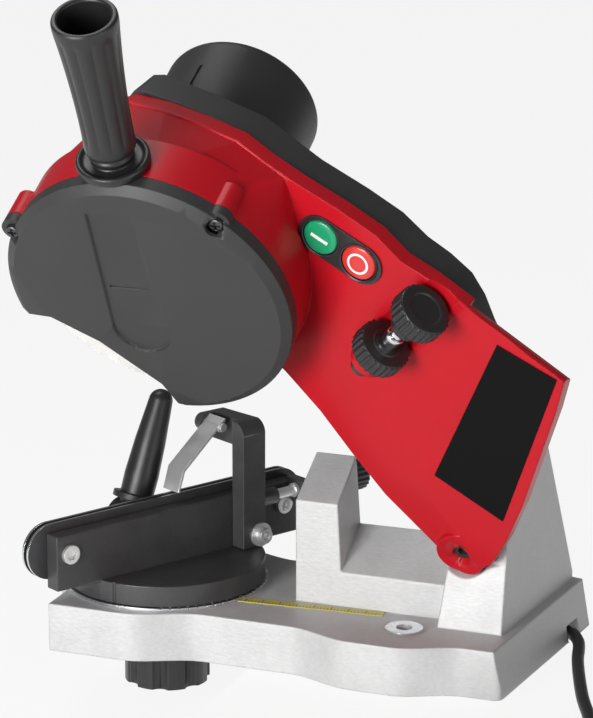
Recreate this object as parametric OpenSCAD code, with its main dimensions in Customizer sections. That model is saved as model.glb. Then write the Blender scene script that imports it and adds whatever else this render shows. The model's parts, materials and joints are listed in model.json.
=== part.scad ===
// Bench-top electric chainsaw sharpener: a cast base, a turntable chain vise and a sprung
// swing head that carries a direct-drive grinding wheel. Millimetres, +Z up. The origin is
// the centre of the two bench bolts, on the base's underside.

/* [Base] */
// Length of the base casting along X
base_len = 261; // [255:1:330]
// Height of the base's flat body
base_h = 28; // [22:1:40]
// Wall of the base casting
base_wall = 5; // [3:0.5:7]
// Radius of each bench bolt hole
bench_hole_r = 4.25; // [3:0.25:5.5]
// Distance between the two bench bolts
bench_hole_gap = 88; // [80:1:96]

/* [Head] */
// Lean of the head's swing plane away from the viewer
tilt = 30; // [30:1:30]
// Height of the pivot above the base's top face
pivot_rise = 44; // [43:0.5:48]
// Radius of the pivot bolt
pivot_r = 4; // [3.5:0.25:5]
// Depth of the front shell of the head, face to parting line
front_depth = 10; // [9:0.5:12]
// Depth of the rear shell of the head
rear_depth = 20; // [18:1:24]
// Wall of the moulded shells
shell_wall = 3; // [2:0.25:3.5]

/* [Wheel and motor] */
// Diameter of the grinding wheel
wheel_d = 145; // [110:1:147]
// Thickness of the grinding wheel
wheel_t = 4.5; // [3.2:0.1:6]
// Diameter of the grinding wheel's bore
wheel_bore = 22.3; // [20:0.1:23]
// Outer radius of the guard and of its chamber
guard_r = 79.5; // [77:0.5:82]
// Outer radius of the motor cover
motor_r = 45; // [43:0.5:48]
// Radius of the motor spindle
spindle_r = 6; // [5:0.5:7]

/* [Vise] */
// Direction of the chain rails, from +X, at rest
rail_angle = 60.9; // [60.9:0.1:60.9]
// Radius of the turntable
table_r = 57; // [50:1:58]
// Half-length of the chain rails up to the centre of their round ends
rail_half = 81.5; // [78:0.5:95]
// Height of the chain rails
rail_h = 32; // [28:1:36]
// Gap between the two chain rails
rail_gap = 2.6; // [1.6:0.1:3.2]
// Length of the clamp lever above its hub
lever_len = 65; // [50:1:80]

/* [Controls] */
// Radius of the depth screw
screw_r = 3.75; // [3:0.25:4.5]
// Radius of the depth knob and of its lock nut
knob_r = 15; // [12:0.5:16]
// Radius of the start and stop buttons
button_r = 10.2; // [8:0.1:10.6]

/* [Cord] */
// Diameter of the mains cord
cord_d = 7; // [6:0.1:7.2]

/* [Hidden] */
$fn = 64;
eps = 0.01;
fit = 0.05;  // radial clearance of a turning shaft
gap = 0.3;   // clearance between bodies that move past each other

// ---- places -------------------------------------------------------------------------------
base_right = 61;                       // near right bottom corner of the base
base_left = base_right - base_len;
base_near = -62;
base_far = 74;
end_skew = 4.8;                        // the right end runs back and outwards
pivot = [29.5, -35, base_h + pivot_rise];
turn = [-156, -11];                    // turntable axis
wheel_at = [-152, 161.5];                // wheel axis in the swing plane: x, height w
wheel_a = 24;                          // depth of the wheel behind the pivot's near face
face_set = -2;                         // the main face, where it meets the pivot axis
face_turn = [-12.35, 0, -10.06];       // the main face slopes within the head
table_z0 = 1.9;                        // underside of the turntable above the base
table_z1 = 14;
rail_top = 50;                         // above the base
jaw_top = 45;
screw_at = [-34.1, 20, 128.1];         // rear centre of the lock nut, in the head
screw_lean = 43;                       // the depth screw leans this far from the swing plane's +w
handle_at = [-158, 26, 242.1];         // centre of the handle collar's underside
handle_lean = 4.2;

// ---- frames -------------------------------------------------------------------------------
module at_head() translate(pivot) rotate([tilt, 0, 0]) children();
module at_face() at_head() translate([0, face_set, 0]) rotate(face_turn) children();
module at_vise() translate([turn[0], turn[1], base_h]) rotate([0, 0, rail_angle]) children();
module at_screw() at_head() translate(screw_at) rotate([0, screw_lean, 0]) children();
module at_handle() at_head() translate(handle_at) rotate([0, handle_lean, 0]) children();

// An outline (x, w) of the swing plane, from depth a0 to depth a1
module slab(a0, a1) translate([0, a1, 0]) rotate([90, 0, 0]) linear_extrude(a1 - a0) children();
// A round bar along the depth axis
module bar(r, a0, a1, at = [0, 0]) translate([at[0], a0, at[1]]) rotate([-90, 0, 0]) cylinder(r = r,
    h = a1 - a0);
// A round pipe along the depth axis
module pipe(r, hole, a0, a1, at = [0, 0]) difference() {
    bar(r, a0, a1, at);
    bar(hole, a0 - 1, a1 + 1, at);
}
// The same two along +Z
module tube(r, hole, z0, z1) difference() {
    translate([0, 0, z0]) cylinder(r = r, h = z1 - z0);
    translate([0, 0, z0 - 1]) cylinder(r = hole, h = z1 - z0 + 2);
}
// A bar across the vise, along its local y
module cross(r, v0, v1, u, z) translate([u, v0, z]) rotate([-90, 0, 0]) cylinder(r = r, h = v1 - v0);

// ---- curves -------------------------------------------------------------------------------
function ease(t) = t * t * (3 - 2 * t);
function level(x, s, i = 0) =
    i + 2 >= len(s) || x <= s[i + 1][0]
        ? s[i][1] + (s[i + 1][1] - s[i][1]) * ease(max(0, min(1, (x - s[i][0]) / (s[i + 1][0] - s[i][0]))))
        : level(x, s, i + 1);
function arc_points(c, r, a0, a1, n) = [for (i = [0:n]) c + r * [cos(a0 + (a1 - a0) * i / n),
    sin(a0 + (a1 - a0) * i / n)]];
// A point of the y-z plane from a depth and a height of the head
function yz(a, w) = [pivot[1] + a * cos(tilt) - w * sin(tilt), pivot[2] + a * sin(tilt) + w * cos(tilt)];

// A round tube along points: each ring stands square to the path
function unit(v) = v / norm(v);
function run(p, i) = unit(p[min(i + 1, len(p) - 1)] - p[max(i - 1, 0)]);
function side_of(d) = unit(cross_of(abs(d[2]) > 0.9 ? [1, 0, 0] : [0, 0, 1], d));
function cross_of(a, b) = [a[1] * b[2] - a[2] * b[1], a[2] * b[0] - a[0] * b[2], a[0] * b[1] - a[1] * b[0]];
function ring_at(p, i, r, n) = let (d = run(p, i), s = side_of(d), t = cross_of(d, s))
    [for (k = [0:n - 1]) p[i] + r * (cos(360 * k / n) * s + sin(360 * k / n) * t)];
module sweep(p, r, n) {
    rings = len(p);
    points = [for (i = [0:rings - 1]) each ring_at(p, i, r, n)];
    sides = [for (i = [0:rings - 2], k = [0:n - 1]) let (a = i * n + k, b = i * n + (k + 1) % n)
        each [[a, a + n, b], [b, a + n, b + n]]];
    first = [for (k = [1:n - 2]) [0, k, k + 1]];
    last = [for (k = [1:n - 2]) let (o = (rings - 1) * n) [o, o + k + 1, o + k]];
    polyhedron(points, concat(sides, first, last));
}
// The least distance between the centres of far-apart rings of a path, less the tube's width
function self_gap(p, r, skip) = min([for (i = [0:len(p) - 1], j = [i + skip:1:len(p) - 1])
    norm(p[i] - p[j])]) - 2 * r;
// Catmull-Rom points through a route chosen by hand
function knot(q, i) = q[max(0, min(len(q) - 1, i))];
function spline(q, n) = [for (i = [0:len(q) - 2], k = [0:n - 1]) let (t = k / n, a = knot(q, i - 1),
    b = knot(q, i), c = knot(q, i + 1), d = knot(q, i + 2))
    0.5 * (2 * b + (c - a) * t + (2 * a - 5 * b + 4 * c - d) * t * t + (3 * b - a - 3 * c + d) * t * t * t)];

// ---- base ---------------------------------------------------------------------------------
near_line = [[base_left, -76], [base_left + 45, -76], [-112, base_near], [-60, base_near], [-22, -73],
    [2, -73], [40, -60], [base_right, -60]];
far_line = [[base_left, 56], [base_left + 60, 56], [-96, 44], [-60, 44], [-20, base_far],
    [base_right + 20, base_far]];
lobe_r = 60;
end_shift = (base_far - base_near) * tan(end_skew);
tower_x = [15, 52.5];                  // left and right faces of the tower
tower_top = 9;                         // height of its rear block above the pivot axis
tower_a = [32.5, 80];                  // depth of that block
saddle_r = 15.6;
post_x = [-72.5, -48];
post_y = [-21.3, 12];
post_w = 6.3;                          // the post's top, in the head's height
rib_z = 20;                            // near top edge of the rib, above the base

module base_outline() {
    steps = 44;
    near = [for (i = [0:steps]) let (x = base_left + (base_right - 4 - base_left) * i / steps) [x,
        level(x, near_line)]];
    far = [for (i = [0:steps]) let (x = base_right + end_shift - (base_right + end_shift - base_left)
        * i / steps) [x, level(x, far_line)]];
    polygon(concat(near, [[base_right - 1, -58.5], [base_right, -55]], far));
    translate(turn) circle(r = lobe_r);
}
module base_end_cut(inset) translate([base_right - inset, base_near, 0]) rotate([0, -10, -end_skew])
    translate([0, -60, -40]) cube([60, 300, 220]);
module tower_side() polygon([[pivot[1], base_h - 4], [pivot[1] + 6, pivot[2] - 6], [pivot[1] + 7,
    pivot[2] + 7.5], yz(tower_a[0], 3), yz(tower_a[0], tower_top),
    yz(tower_a[1], tower_top), [base_far - 0.5, base_h + 4], [base_far - 0.5, base_h - 4]]);
module tower_front() polygon([[tower_x[0], base_h - 4], [tower_x[0] + 5, base_h + 38], [tower_x[0] + 6,
    base_h + 120],
    [tower_x[1] + 20, base_h + 120], [tower_x[1] + 20, base_h - 4]]);
module block_side(drop) polygon([[post_y[0], base_h - 4], [post_y[0], post_top_near - drop], [post_y[1],
    post_top_near - drop + (post_y[1] - post_y[0]) * tan(tilt)],
    [post_y[1] + 2, base_h - 4]]);
post_top_near = pivot[2] + (post_w + (post_y[0] - pivot[1]) * sin(tilt)) / cos(tilt);

module along_x(x0, x1) translate([x0, 0, 0]) rotate([90, 0, 90]) linear_extrude(x1 - x0) children();
module along_y(y0, y1) translate([0, y1, 0]) rotate([90, 0, 0]) linear_extrude(y1 - y0) children();

module base_casting() color([0.78, 0.79, 0.80]) difference() {
    union() {
        difference() {
            linear_extrude(base_h) base_outline();
            translate([0, 0, -1]) linear_extrude(base_h - base_wall + 1) offset(delta = -base_wall)
                base_outline();
            base_end_cut(0);
        }
        // inner skin behind the sloping right end
        intersection() {
            linear_extrude(base_h) base_outline();
            difference() {
                base_end_cut(base_wall + 3);
                base_end_cut(0);
            }
            translate([0, base_near + 2, 0]) cube([200, base_far - base_near - 4, base_h]);
        }
        // tower
        intersection() {
            along_x(tower_x[0] - 20, tower_x[1] + 20) tower_side();
            along_y(-60, 100) tower_front();
            difference() {
                translate([0, -80, 0]) cube([200, 300, 200]);
                translate([tower_x[1], pivot[1], 0]) rotate([0, 0, -end_skew]) translate([0, -100, -1])
                    cube([60, 300, 220]);
            }
        }
        // post and rib
        intersection() {
            along_x(post_x[0], post_x[1] + 4) block_side(0);
            along_y(-40, 40) polygon([[post_x[0], base_h - 4], [post_x[0], 125], [post_x[1] - 3, 125],
                [post_x[1], 100], [post_x[1] + 4, base_h - 4]]);
        }
        along_x(post_x[1] - 6, tower_x[0] + 8) block_side(post_top_near - base_h - rib_z);
        // bench bolt bosses, the turntable's pad and the ribs under the top plate
        for (s = [-1, 1]) translate([0, s * bench_hole_gap / 2, 0]) cylinder(r = 10.8, h = base_h + 1.2);
        translate([turn[0], turn[1], 0]) cylinder(r = 16, h = base_h - 2);
        for (x = [-100, -30]) translate([x, base_near + 4, 8]) cube([4, 100, base_h - 9]);
    }
    // saddle for the boss of the head, and the bolt's bore
    at_head() bar(saddle_r, -40, tower_a[0]);
    at_head() slab(-40, tower_a[0]) polygon([[0, -6], [17.5, -6], [22, 12], [0, 12]]);
    at_head() bar(pivot_r, tower_a[0] - 2, tower_a[1] + 10);
    // hollow of the tower and of the post, open below
    intersection() {
        along_x(tower_x[0] + base_wall + 1, tower_x[1] - base_wall) polygon([[pivot[1] + base_wall + 3, -1],
            [pivot[1] + base_wall + 6, base_h + 14], [6, base_h + 30], [24, pivot[2] + 16], [36,
                pivot[2] + 16], [62, base_h + 6], [62, -1]]);
        translate([-100, -80, -1]) cube([300, 300, 200]);
    }
    along_x(post_x[0] + base_wall, post_x[1] - base_wall) polygon([[post_y[0] + base_wall, -1],
        [post_y[0] + base_wall, post_top_near - 10], [post_y[1] - base_wall, post_top_near],
        [post_y[1] - base_wall, -1]]);
    // bench bolts, turntable stud, cord notch in the end wall
    for (s = [-1, 1]) translate([0, s * bench_hole_gap / 2, -1]) cylinder(r = bench_hole_r, h = base_h + 10);
    translate([turn[0], turn[1], -1]) cylinder(r = stud_r + 0.4, h = base_h + 10);
    translate([base_right - 20, 41, -1]) cube([40, 17, 10.5]);
    translate([base_right - 20, 41, -1]) cube([16, 21, 19]);
}
ring_r = table_r + 1.5;
module scale_ring() color([0.85, 0.86, 0.88]) translate([turn[0], turn[1], base_h]) difference() {
    tube(ring_r, 34, 0, 1.6);
    for (i = [-8:8]) rotate([0, 0, rail_angle - 90 + 5 * i]) translate([table_r - 1.5, -0.3, 1]) cube([4,
        0.6, 1]);
}
module scale_strip() color([0.80, 0.80, 0.62]) difference() {
    translate([-112, -35.3, base_h]) rotate([0, 0, 4]) cube([94, 7, 0.5]);
    translate([turn[0], turn[1], 0]) cylinder(r = ring_r + 0.3, h = base_h + 9);
}

// ---- pivot --------------------------------------------------------------------------------
boss_r = 14.5;
boss_a = 32;                           // rear end of the head's pivot boss
module pivot_bolt() color([0.6, 0.6, 0.62]) at_head() difference() {
    union() {
        bar(pivot_r - fit, 5, tower_a[1] + 9);
        bar(pivot_r + 1.35, 2.2, 8.7);
    }
    translate([0, 1, 0]) rotate([-90, 0, 0]) cylinder(r = 3, h = 5, $fn = 6);
}
module pivot_nut() color([0.55, 0.55, 0.58]) at_head() difference() {
    translate([0, tower_a[1], 0]) rotate([-90, 0, 0]) cylinder(r = 1.9 * pivot_r, h = 6.5, $fn = 6);
    bar(pivot_r - fit, tower_a[1] - 1, tower_a[1] + 10);
}
spring_turns = 3;
spring_pitch = 2.6;
function spring_path() = [for (i = [0:8 * spring_turns])
    [7.6 * cos(45 * i), boss_a - 0.6 - spring_pitch * (spring_turns - i / 8), 7.6 * sin(45 * i)]];
module return_spring() color([0.45, 0.45, 0.47]) at_head() sweep(spring_path(), 0.8, 6);

// ---- cord ---------------------------------------------------------------------------------
// Route of the free cord: out of the gland, under the end wall, along the bench
cord_route = [[36, 56, 14], [42, 56, 14], [50, 55, 11.5], [57, 53, 7.5], [63, 51, 4.6], [70, 46, 3.8],
    [75, 39, 3.5], [79, 28, 3.5], [84, 8, 3.5],
    [93, -20, 3.5], [103, -48, 3.5], [114, -74, 3.5], [124, -104, 3.5], [130, -136, 3.5], [134, -168, 3.5],
    [136, -196, 3.5], [136, -207, 3.5], [136, -214, 3.5]];
coil_at = [88, -221];
coil_turns = 3;                        // turns of each of the two layers
coil_pitch = cord_d + 0.8;
coil_r = 48;                           // outer turn's radius, where the free cord runs in
gland_x = [24, 42];
gland_at = [56, 14];                   // y and z of the gland's axis
module cord_clamp() color([0.25, 0.25, 0.26]) difference() {
    translate([26, gland_at[0] - 9, gland_at[1] - 8]) cube([14, 18, base_h - base_wall - gland_at[1] + 8]);
    translate([0, gland_at[0], gland_at[1]]) rotate([0, 90, 0]) cylinder(r = cord_d / 2 + 2, h = 60);
}
module cord_gland() color([0.08, 0.08, 0.08]) translate([gland_x[0], gland_at[0], gland_at[1]])
    rotate([0, 90, 0]) difference() {
    union() {
        cylinder(r = cord_d / 2 + 2, h = gland_x[1] - gland_x[0] - 4);
        cylinder(r = cord_d / 2 + 4, h = 1.8);
        translate([0, 0, 14]) cylinder(r = cord_d / 2 + 1.4, h = gland_x[1] - gland_x[0] - 14);
    }
    translate([0, 0, -1]) cylinder(r = cord_d / 2 + 0.1, h = 60);
}
module mains_cord() color([0.05, 0.05, 0.05]) sweep(concat(spline(cord_route, 3),
    [cord_route[len(cord_route) - 1]]), cord_d / 2, 8);
// The coil's loops: in along the lower layer, up half a turn, out along the upper layer
coil_low = cord_d / 2;
coil_high = coil_low + cord_d + 0.8;
function coil_path() = let (n = 24, half = coil_turns * n, climb = n / 2)
    [for (i = [0:2 * half + climb]) let (
        t = -360 * i / n,
        inwards = min(i, half),
        outwards = max(0, i - half - climb),
        r = coil_r - coil_pitch * (inwards - outwards) / n,
        z = coil_low + (coil_high - coil_low) * ease(max(0, min(1, (i - half) / climb))))
        [coil_at[0] + r * cos(t), coil_at[1] + r * sin(t), z]];
module cord_coil() color([0.05, 0.05, 0.05]) sweep(concat([coil_path()[0] + [0, cord_d, 0]], coil_path(),
    [coil_end + coil_run * 7, coil_end + coil_run * 14]), cord_d / 2, 6);
coil_end = coil_path()[len(coil_path()) - 1];
coil_run = unit(coil_end - coil_path()[len(coil_path()) - 2]);
echo(coil_gap = self_gap(coil_path(), cord_d / 2, 8));
plug_at = coil_end + coil_run * 14;
plug_yaw = atan2(coil_run[1], coil_run[0]);
module at_plug() translate(plug_at) rotate([0, 0, plug_yaw]) rotate([0, 90, 0]) children();
module mains_plug() color([0.06, 0.06, 0.06]) at_plug() {
    difference() {
        union() {
            cylinder(r = 5.5, h = 14);
            translate([0, 0, 10]) cylinder(r1 = 6, r2 = 9.5, h = 12);
            translate([0, 0, 22]) cylinder(r = 9.5, h = 22);
            translate([0, 0, 44]) cylinder(r = 11, h = 6);
        }
        for (s = [-1, 1]) translate([0, s * 9.5, 46]) cylinder(r = 2.4, h = 10);
    }
}
module plug_pins() color([0.75, 0.75, 0.76]) at_plug() for (s = [-1, 1]) translate([0, s * 9.5, 46]) {
    cylinder(r = 2.35, h = 21);
    translate([0, 0, 21]) sphere(r = 2.35);
}

// ---- vise ---------------------------------------------------------------------------------
stud_r = 5;
jaw_v = [-13, -3];                     // near jaw, fixed
moving_v = [3, 13];                    // far jaw
jaw_u = [-85, 88];
jaw_z0 = 14;
rail_t = 1.7;
clamp_z = 30;                          // height of the lever's axis above the base
clamp_u = -5;
lever_v = 27;                          // middle of the lever, across the vise
screw_u = [-76.5, 76];
screw_z = [34, 32];
slot_u = 50;                           // the stop's lock screw at rest
slot_z = 21.6;
stop_travel = 8;
rod_v = -18.5;
rod_z = 41;
rod_r = 3;
module in_vise(v0, v1) translate([0, v1, 0]) rotate([90, 0, 0]) linear_extrude(v1 - v0) children();
module turntable() color([0.72, 0.73, 0.75]) at_vise() difference() {
    union() {
        translate([0, 0, table_z0]) cylinder(r = table_r, h = table_z1 - table_z0, $fn = 128);
        translate([jaw_u[0], jaw_v[0], jaw_z0 - 0.5]) cube([jaw_u[1] - jaw_u[0], jaw_v[1] - jaw_v[0],
            jaw_top - jaw_z0 + 0.5]);
        translate([81.3, rod_v - 6, rod_z - 8]) cube([6.7, 6 - rod_v + jaw_v[0] + 4, 14]);
    }
    // stud, rod, lever stud and jaw screws
    translate([0, 0, -1]) cylinder(r = stud_r + fit, h = 12);
    translate([60, rod_v, rod_z]) rotate([0, 90, 0]) cylinder(r = rod_r + fit, h = 40);
    cross(stud_r - 1, jaw_v[0] + 3, 0, clamp_u, clamp_z);
    for (i = [0, 1]) cross(2.5, -20, 0, screw_u[i], screw_z[i]);
    // slot that the stop slides along
    translate([slot_u - stop_travel, -20, slot_z - 2.7]) cube([2 * stop_travel, 20, 5.4]);
    for (s = [-1, 1]) cross(2.7, -20, 0, slot_u + s * stop_travel, slot_z);
    // index line on the rim
    rotate([0, 0, 262.8 - 60.9]) translate([table_r - 1, -0.8, 0]) cube([3, 1.6, 20]);
}
module rail_side() {
    translate([-rail_half, rail_top - rail_h]) square([2 * rail_half, rail_h]);
    for (s = [-1, 1]) translate([s * rail_half, rail_top - rail_h / 2]) circle(r = rail_h / 2);
}
module front_rail() color([0.86, 0.87, 0.88]) at_vise() difference() {
    in_vise(-rail_gap / 2 - rail_t, -rail_gap / 2) rail_side();
    cross(stud_r - 1, -20, 20, clamp_u, clamp_z);
    for (i = [0, 1]) cross(2.5, -20, 20, screw_u[i], screw_z[i]);
}
module rear_rail() color([0.86, 0.87, 0.88]) at_vise() difference() {
    in_vise(rail_gap / 2, rail_gap / 2 + rail_t) rail_side();
    cross(stud_r - 0.6, -20, 20, clamp_u, clamp_z);
    for (i = [0, 1]) cross(3.1, -20, 20, screw_u[i], screw_z[i]);
}
module rear_jaw() color([0.70, 0.71, 0.73]) at_vise() difference() {
    in_vise(moving_v[0], moving_v[1]) {
        translate([jaw_u[0] + 14, jaw_z0 + gap]) square([jaw_u[1] - jaw_u[0] - 28, jaw_top - jaw_z0 - gap]);
        for (u = [jaw_u[0] + 14, jaw_u[1] - 14]) translate([u, (jaw_top + jaw_z0 + gap) / 2])
            circle(r = (jaw_top - jaw_z0 - gap) / 2);
    }
    cross(stud_r - 0.6, -20, 20, clamp_u, clamp_z);
    for (i = [0, 1]) cross(3.1, -20, 20, screw_u[i], screw_z[i]);
}
// Each screw clamps the near rail to the near jaw and guides the far jaw on its plain end
module jaw_screws() color([0.35, 0.35, 0.37]) at_vise() for (i = [0, 1]) difference() {
    union() {
        cross(2.5, -14, 14.5, screw_u[i], screw_z[i]);
        cross(5.4, -15.5, jaw_v[0], screw_u[i], screw_z[i]);
    }
    translate([screw_u[i], -16, screw_z[i]]) rotate([-90, 0, 0]) cylinder(r = 3.2, h = 2.7, $fn = 6);
}
module lever_stud() color([0.6, 0.6, 0.62]) at_vise() {
    cross(stud_r - 1, jaw_v[0] + 3, lever_v + 11.5, clamp_u, clamp_z);
    cross(7, lever_v + 9.4, lever_v + 12.5, clamp_u, clamp_z);
}
lever_lean = 19;
module clamp_lever() color([0.07, 0.07, 0.07]) at_vise() difference() {
    union() {
        cross(9, moving_v[1] + gap, lever_v, clamp_u, clamp_z);
        cross(11.5, lever_v - 9, lever_v + 9, clamp_u, clamp_z);
        translate([clamp_u, lever_v, clamp_z]) rotate([0, lever_lean, 0]) {
            translate([0, 0, 4]) cylinder(r1 = 9, r2 = 8, h = 10);
            translate([0, 0, 11]) cylinder(r = 13.5, h = 3.5);
            translate([0, 0, 12]) rotate_extrude() polygon(concat([[0, 0], [9.7, 0], [10, 14], [9, 34]],
                arc_points([0, lever_len - 7], 7, 0, 90, 8)));
        }
    }
    cross(stud_r - 1 + fit, 0, 50, clamp_u, clamp_z);
}
module turntable_stud() color([0.6, 0.6, 0.62]) translate([turn[0], turn[1], -26]) cylinder(r = stud_r,
    h = base_h + 37);
knob_grooves = 8;
module clamp_knob() color([0.06, 0.06, 0.06]) translate([turn[0], turn[1], 0]) difference() {
    union() {
        translate([0, 0, -6]) cylinder(r = 11, h = 6 - gap);
        translate([0, 0, -32]) cylinder(r = 24.5, h = 28);
    }
    for (i = [1:knob_grooves]) rotate([0, 0, 360 / knob_grooves * (i + 0.3)]) translate([27.5, 0, -33])
        cylinder(r = 5.5, h = 24);
    translate([0, 0, -26]) cylinder(r = stud_r + fit, h = 40);
}
hook_z = [74, 89.5];
pawl_at = [36, 84.5];                    // pawl pin: u, z
module stop_bracket() color([0.62, 0.63, 0.65]) at_vise() difference() {
    union() {
        translate([38, -24, table_z1 + gap]) cube([16, 11 - gap, hook_z[0] - table_z1]);
        translate([0, 0, hook_z[0] - 1]) linear_extrude(hook_z[1] - hook_z[0] + 1)
            polygon([[38, -24], [54, -24], [54, -13.3], [52, 12.3], [43, 12.3], [43, -13.3], [38, -13.3]]);
        translate([pawl_at[0], 7.3, 79.5]) cube([8, 5, 10]);
        cross(5, 7.3, 12.3, pawl_at[0], pawl_at[1]);
        translate([53, rod_v, rod_z]) rotate([0, 90, 0]) cylinder(r = 5, h = 12);
    }
    cross(1.5, 0, 20, pawl_at[0], pawl_at[1]);
    cross(2.5, -30, 0, slot_u, slot_z);
    translate([39.6, rod_v, rod_z]) rotate([0, 90, 0]) cylinder(r = rod_r + fit, h = 40);
    // rounded shoulder
    along_x(30, 60) difference() {
        translate([-25, 81.5]) square([9, 10]);
        translate([-16, 81.5]) circle(r = 8);
    }
}
module stop_lock_screw() color([0.4, 0.4, 0.42]) at_vise() difference() {
    union() {
        cross(2.5, -26, -4, slot_u, slot_z);
        cross(7.1, -25.6, -24, slot_u, slot_z);
        cross(4.4, -30, -25.6, slot_u, slot_z);
        cross(2.6, -12.7, -4, slot_u, slot_z);
    }
    translate([slot_u, -31, slot_z]) rotate([-90, 0, 0]) cylinder(r = 2.6, h = 3.5, $fn = 6);
}
pawl_w = 14;
module stop_pawl() color([0.75, 0.76, 0.78]) at_vise() difference() {
    union() {
        in_vise(-pawl_w / 2, pawl_w / 2) {
            translate(pawl_at) circle(r = 3);
            polygon([[38, 89.6], [7.6, 64.3], [3.7, 51.5], [5.1, 51.1], [9, 63], [39, 88.4]]);
        }
    }
    cross(1.5 + fit, -20, 20, pawl_at[0], pawl_at[1]);
}
module pawl_pin() color([0.6, 0.6, 0.62]) at_vise() {
    cross(1.5, -8.5, 12.3, pawl_at[0], pawl_at[1]);
    cross(2.4, -8.5, -7.3, pawl_at[0], pawl_at[1]);
}
module stop_rod() color([0.66, 0.66, 0.68]) at_vise() {
    translate([48, rod_v, rod_z]) rotate([0, 90, 0]) cylinder(r = rod_r, h = 74);
    for (u = [78.5, 88.3]) translate([u, rod_v, rod_z]) rotate([0, 90, 0]) cylinder(r = 4.2, h = 2.5);
}
module stop_knob() color([0.07, 0.07, 0.07]) at_vise() translate([118, rod_v, rod_z]) rotate([0, 90, 0])
    difference() {
    union() {
        cylinder(r = 9, h = 14, $fn = 64);
        translate([0, 0, -5]) cylinder(r = 6, h = 6);
    }
    for (i = [1:12]) rotate([0, 0, 30 * i]) translate([9.6, 0, -1]) cylinder(r = 1.4, h = 20, $fn = 24);
    translate([0, 0, -6]) cylinder(r = rod_r, h = 10);
}

// ---- head: shells -------------------------------------------------------------------------
drum_a = [20, 48];                     // guard chamber behind the cover
cover_a = 8;
bearing_r = 14;
cover_at = [-155.5, 160.5];            // the motor cover's axis
cover_on_face = [-163.5, 164];         // where it crosses the rear shell
shell_points = concat([[66, 130], [60, 108], [52, 84], [38.5, 43.6], [28, 18], [18, 0]], arc_points([0,
    1], 13.5, -20, -160, 10),
    [[-16.8, 0.3], [-21.3, 3.9], [-47.8, 24.3], [-66.9, 45.6], [-86.3, 68.6], [-106.8, 87.3], [-124,
        100], [-133, 122], [-137, 140],
    [-150, 142], [-172, 142], [-188, 155], [-196, 180], [-198, 215], [-193, 238], [-185, 242], [-163,
        241], [-139, 237], [-118, 232],
    [-103, 223], [-86, 214.5], [-59, 203], [-39, 193], [-25, 180.5], [-8, 173], [6, 165], [20, 156.5],
        [33, 149.5], [46, 141], [59, 134]]);
rear_points = [[20, 120], [25, 100], [25, 60], [14, 10], [0, -2], [-16, 4], [-46, 28], [-64, 49], [-84,
    72], [-121, 103], [-130, 124],
    [-134, 142], [-150, 145], [-172, 145], [-186, 157], [-194, 182], [-196, 215], [-193, 236], [-187,
        243], [-180, 244.5], [-145, 238],
    [-118, 231], [-86, 212.5], [-59, 201], [-39, 191], [-25, 179.5], [-12, 172.5], [0, 163.5], [7, 152],
        [12, 138]];
chord_points = [[-240, 146], [-212, 144], [-187, 129], [-157, 101], [-149, 84], [-147, 60], [-240, 60]];
lug_places = [[-101.8, 217.8], [-221, 200.6]];
shell_screws = [[10, 104], [-76, 84], [-112, 124], [-185, 226], [-90, 202], [-4, 158]];
module in_face(y0, y1) at_face() slab(y0, y1) children();
module face_bar(r, y0, y1, at) at_face() bar(r, y0, y1, at);
module guard_outline(r) difference() {
    translate(wheel_at) circle(r = r, $fn = 128);
    polygon(chord_points);
}
module face_outline() polygon(shell_points);
module rear_outline() {
    polygon(rear_points);
    intersection() {
        translate(cover_on_face) circle(r = motor_r + 3);
        translate([-260, 130]) square([200, 200]);
    }
}
// A wedge that slopes the main face down beyond a crease line through p
module crease(p, angle, up) translate([p[0], 0, p[1]]) rotate([0, -angle, 0]) rotate([10, 0, 0])
    translate([-up, -60, -80]) cube([up + 90, 60, 80]);
module creases() {
    crease([-39.3, 64.1], -59.3, 85);
    crease([-39.3, 64.1], -53.6, 30);
}
// A bevel behind the top right edge, which thins the shell towards its back
module back_bevel(drop) at_face() translate([12, 2, 161.5 - drop]) rotate([0, 29.5, 0]) rotate([-32, 0,
    0]) cube([90, 30, 30]);
module shell_bosses(y0, y1) for (p = shell_screws) face_bar(5.5, y0, y1, p);
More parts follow.
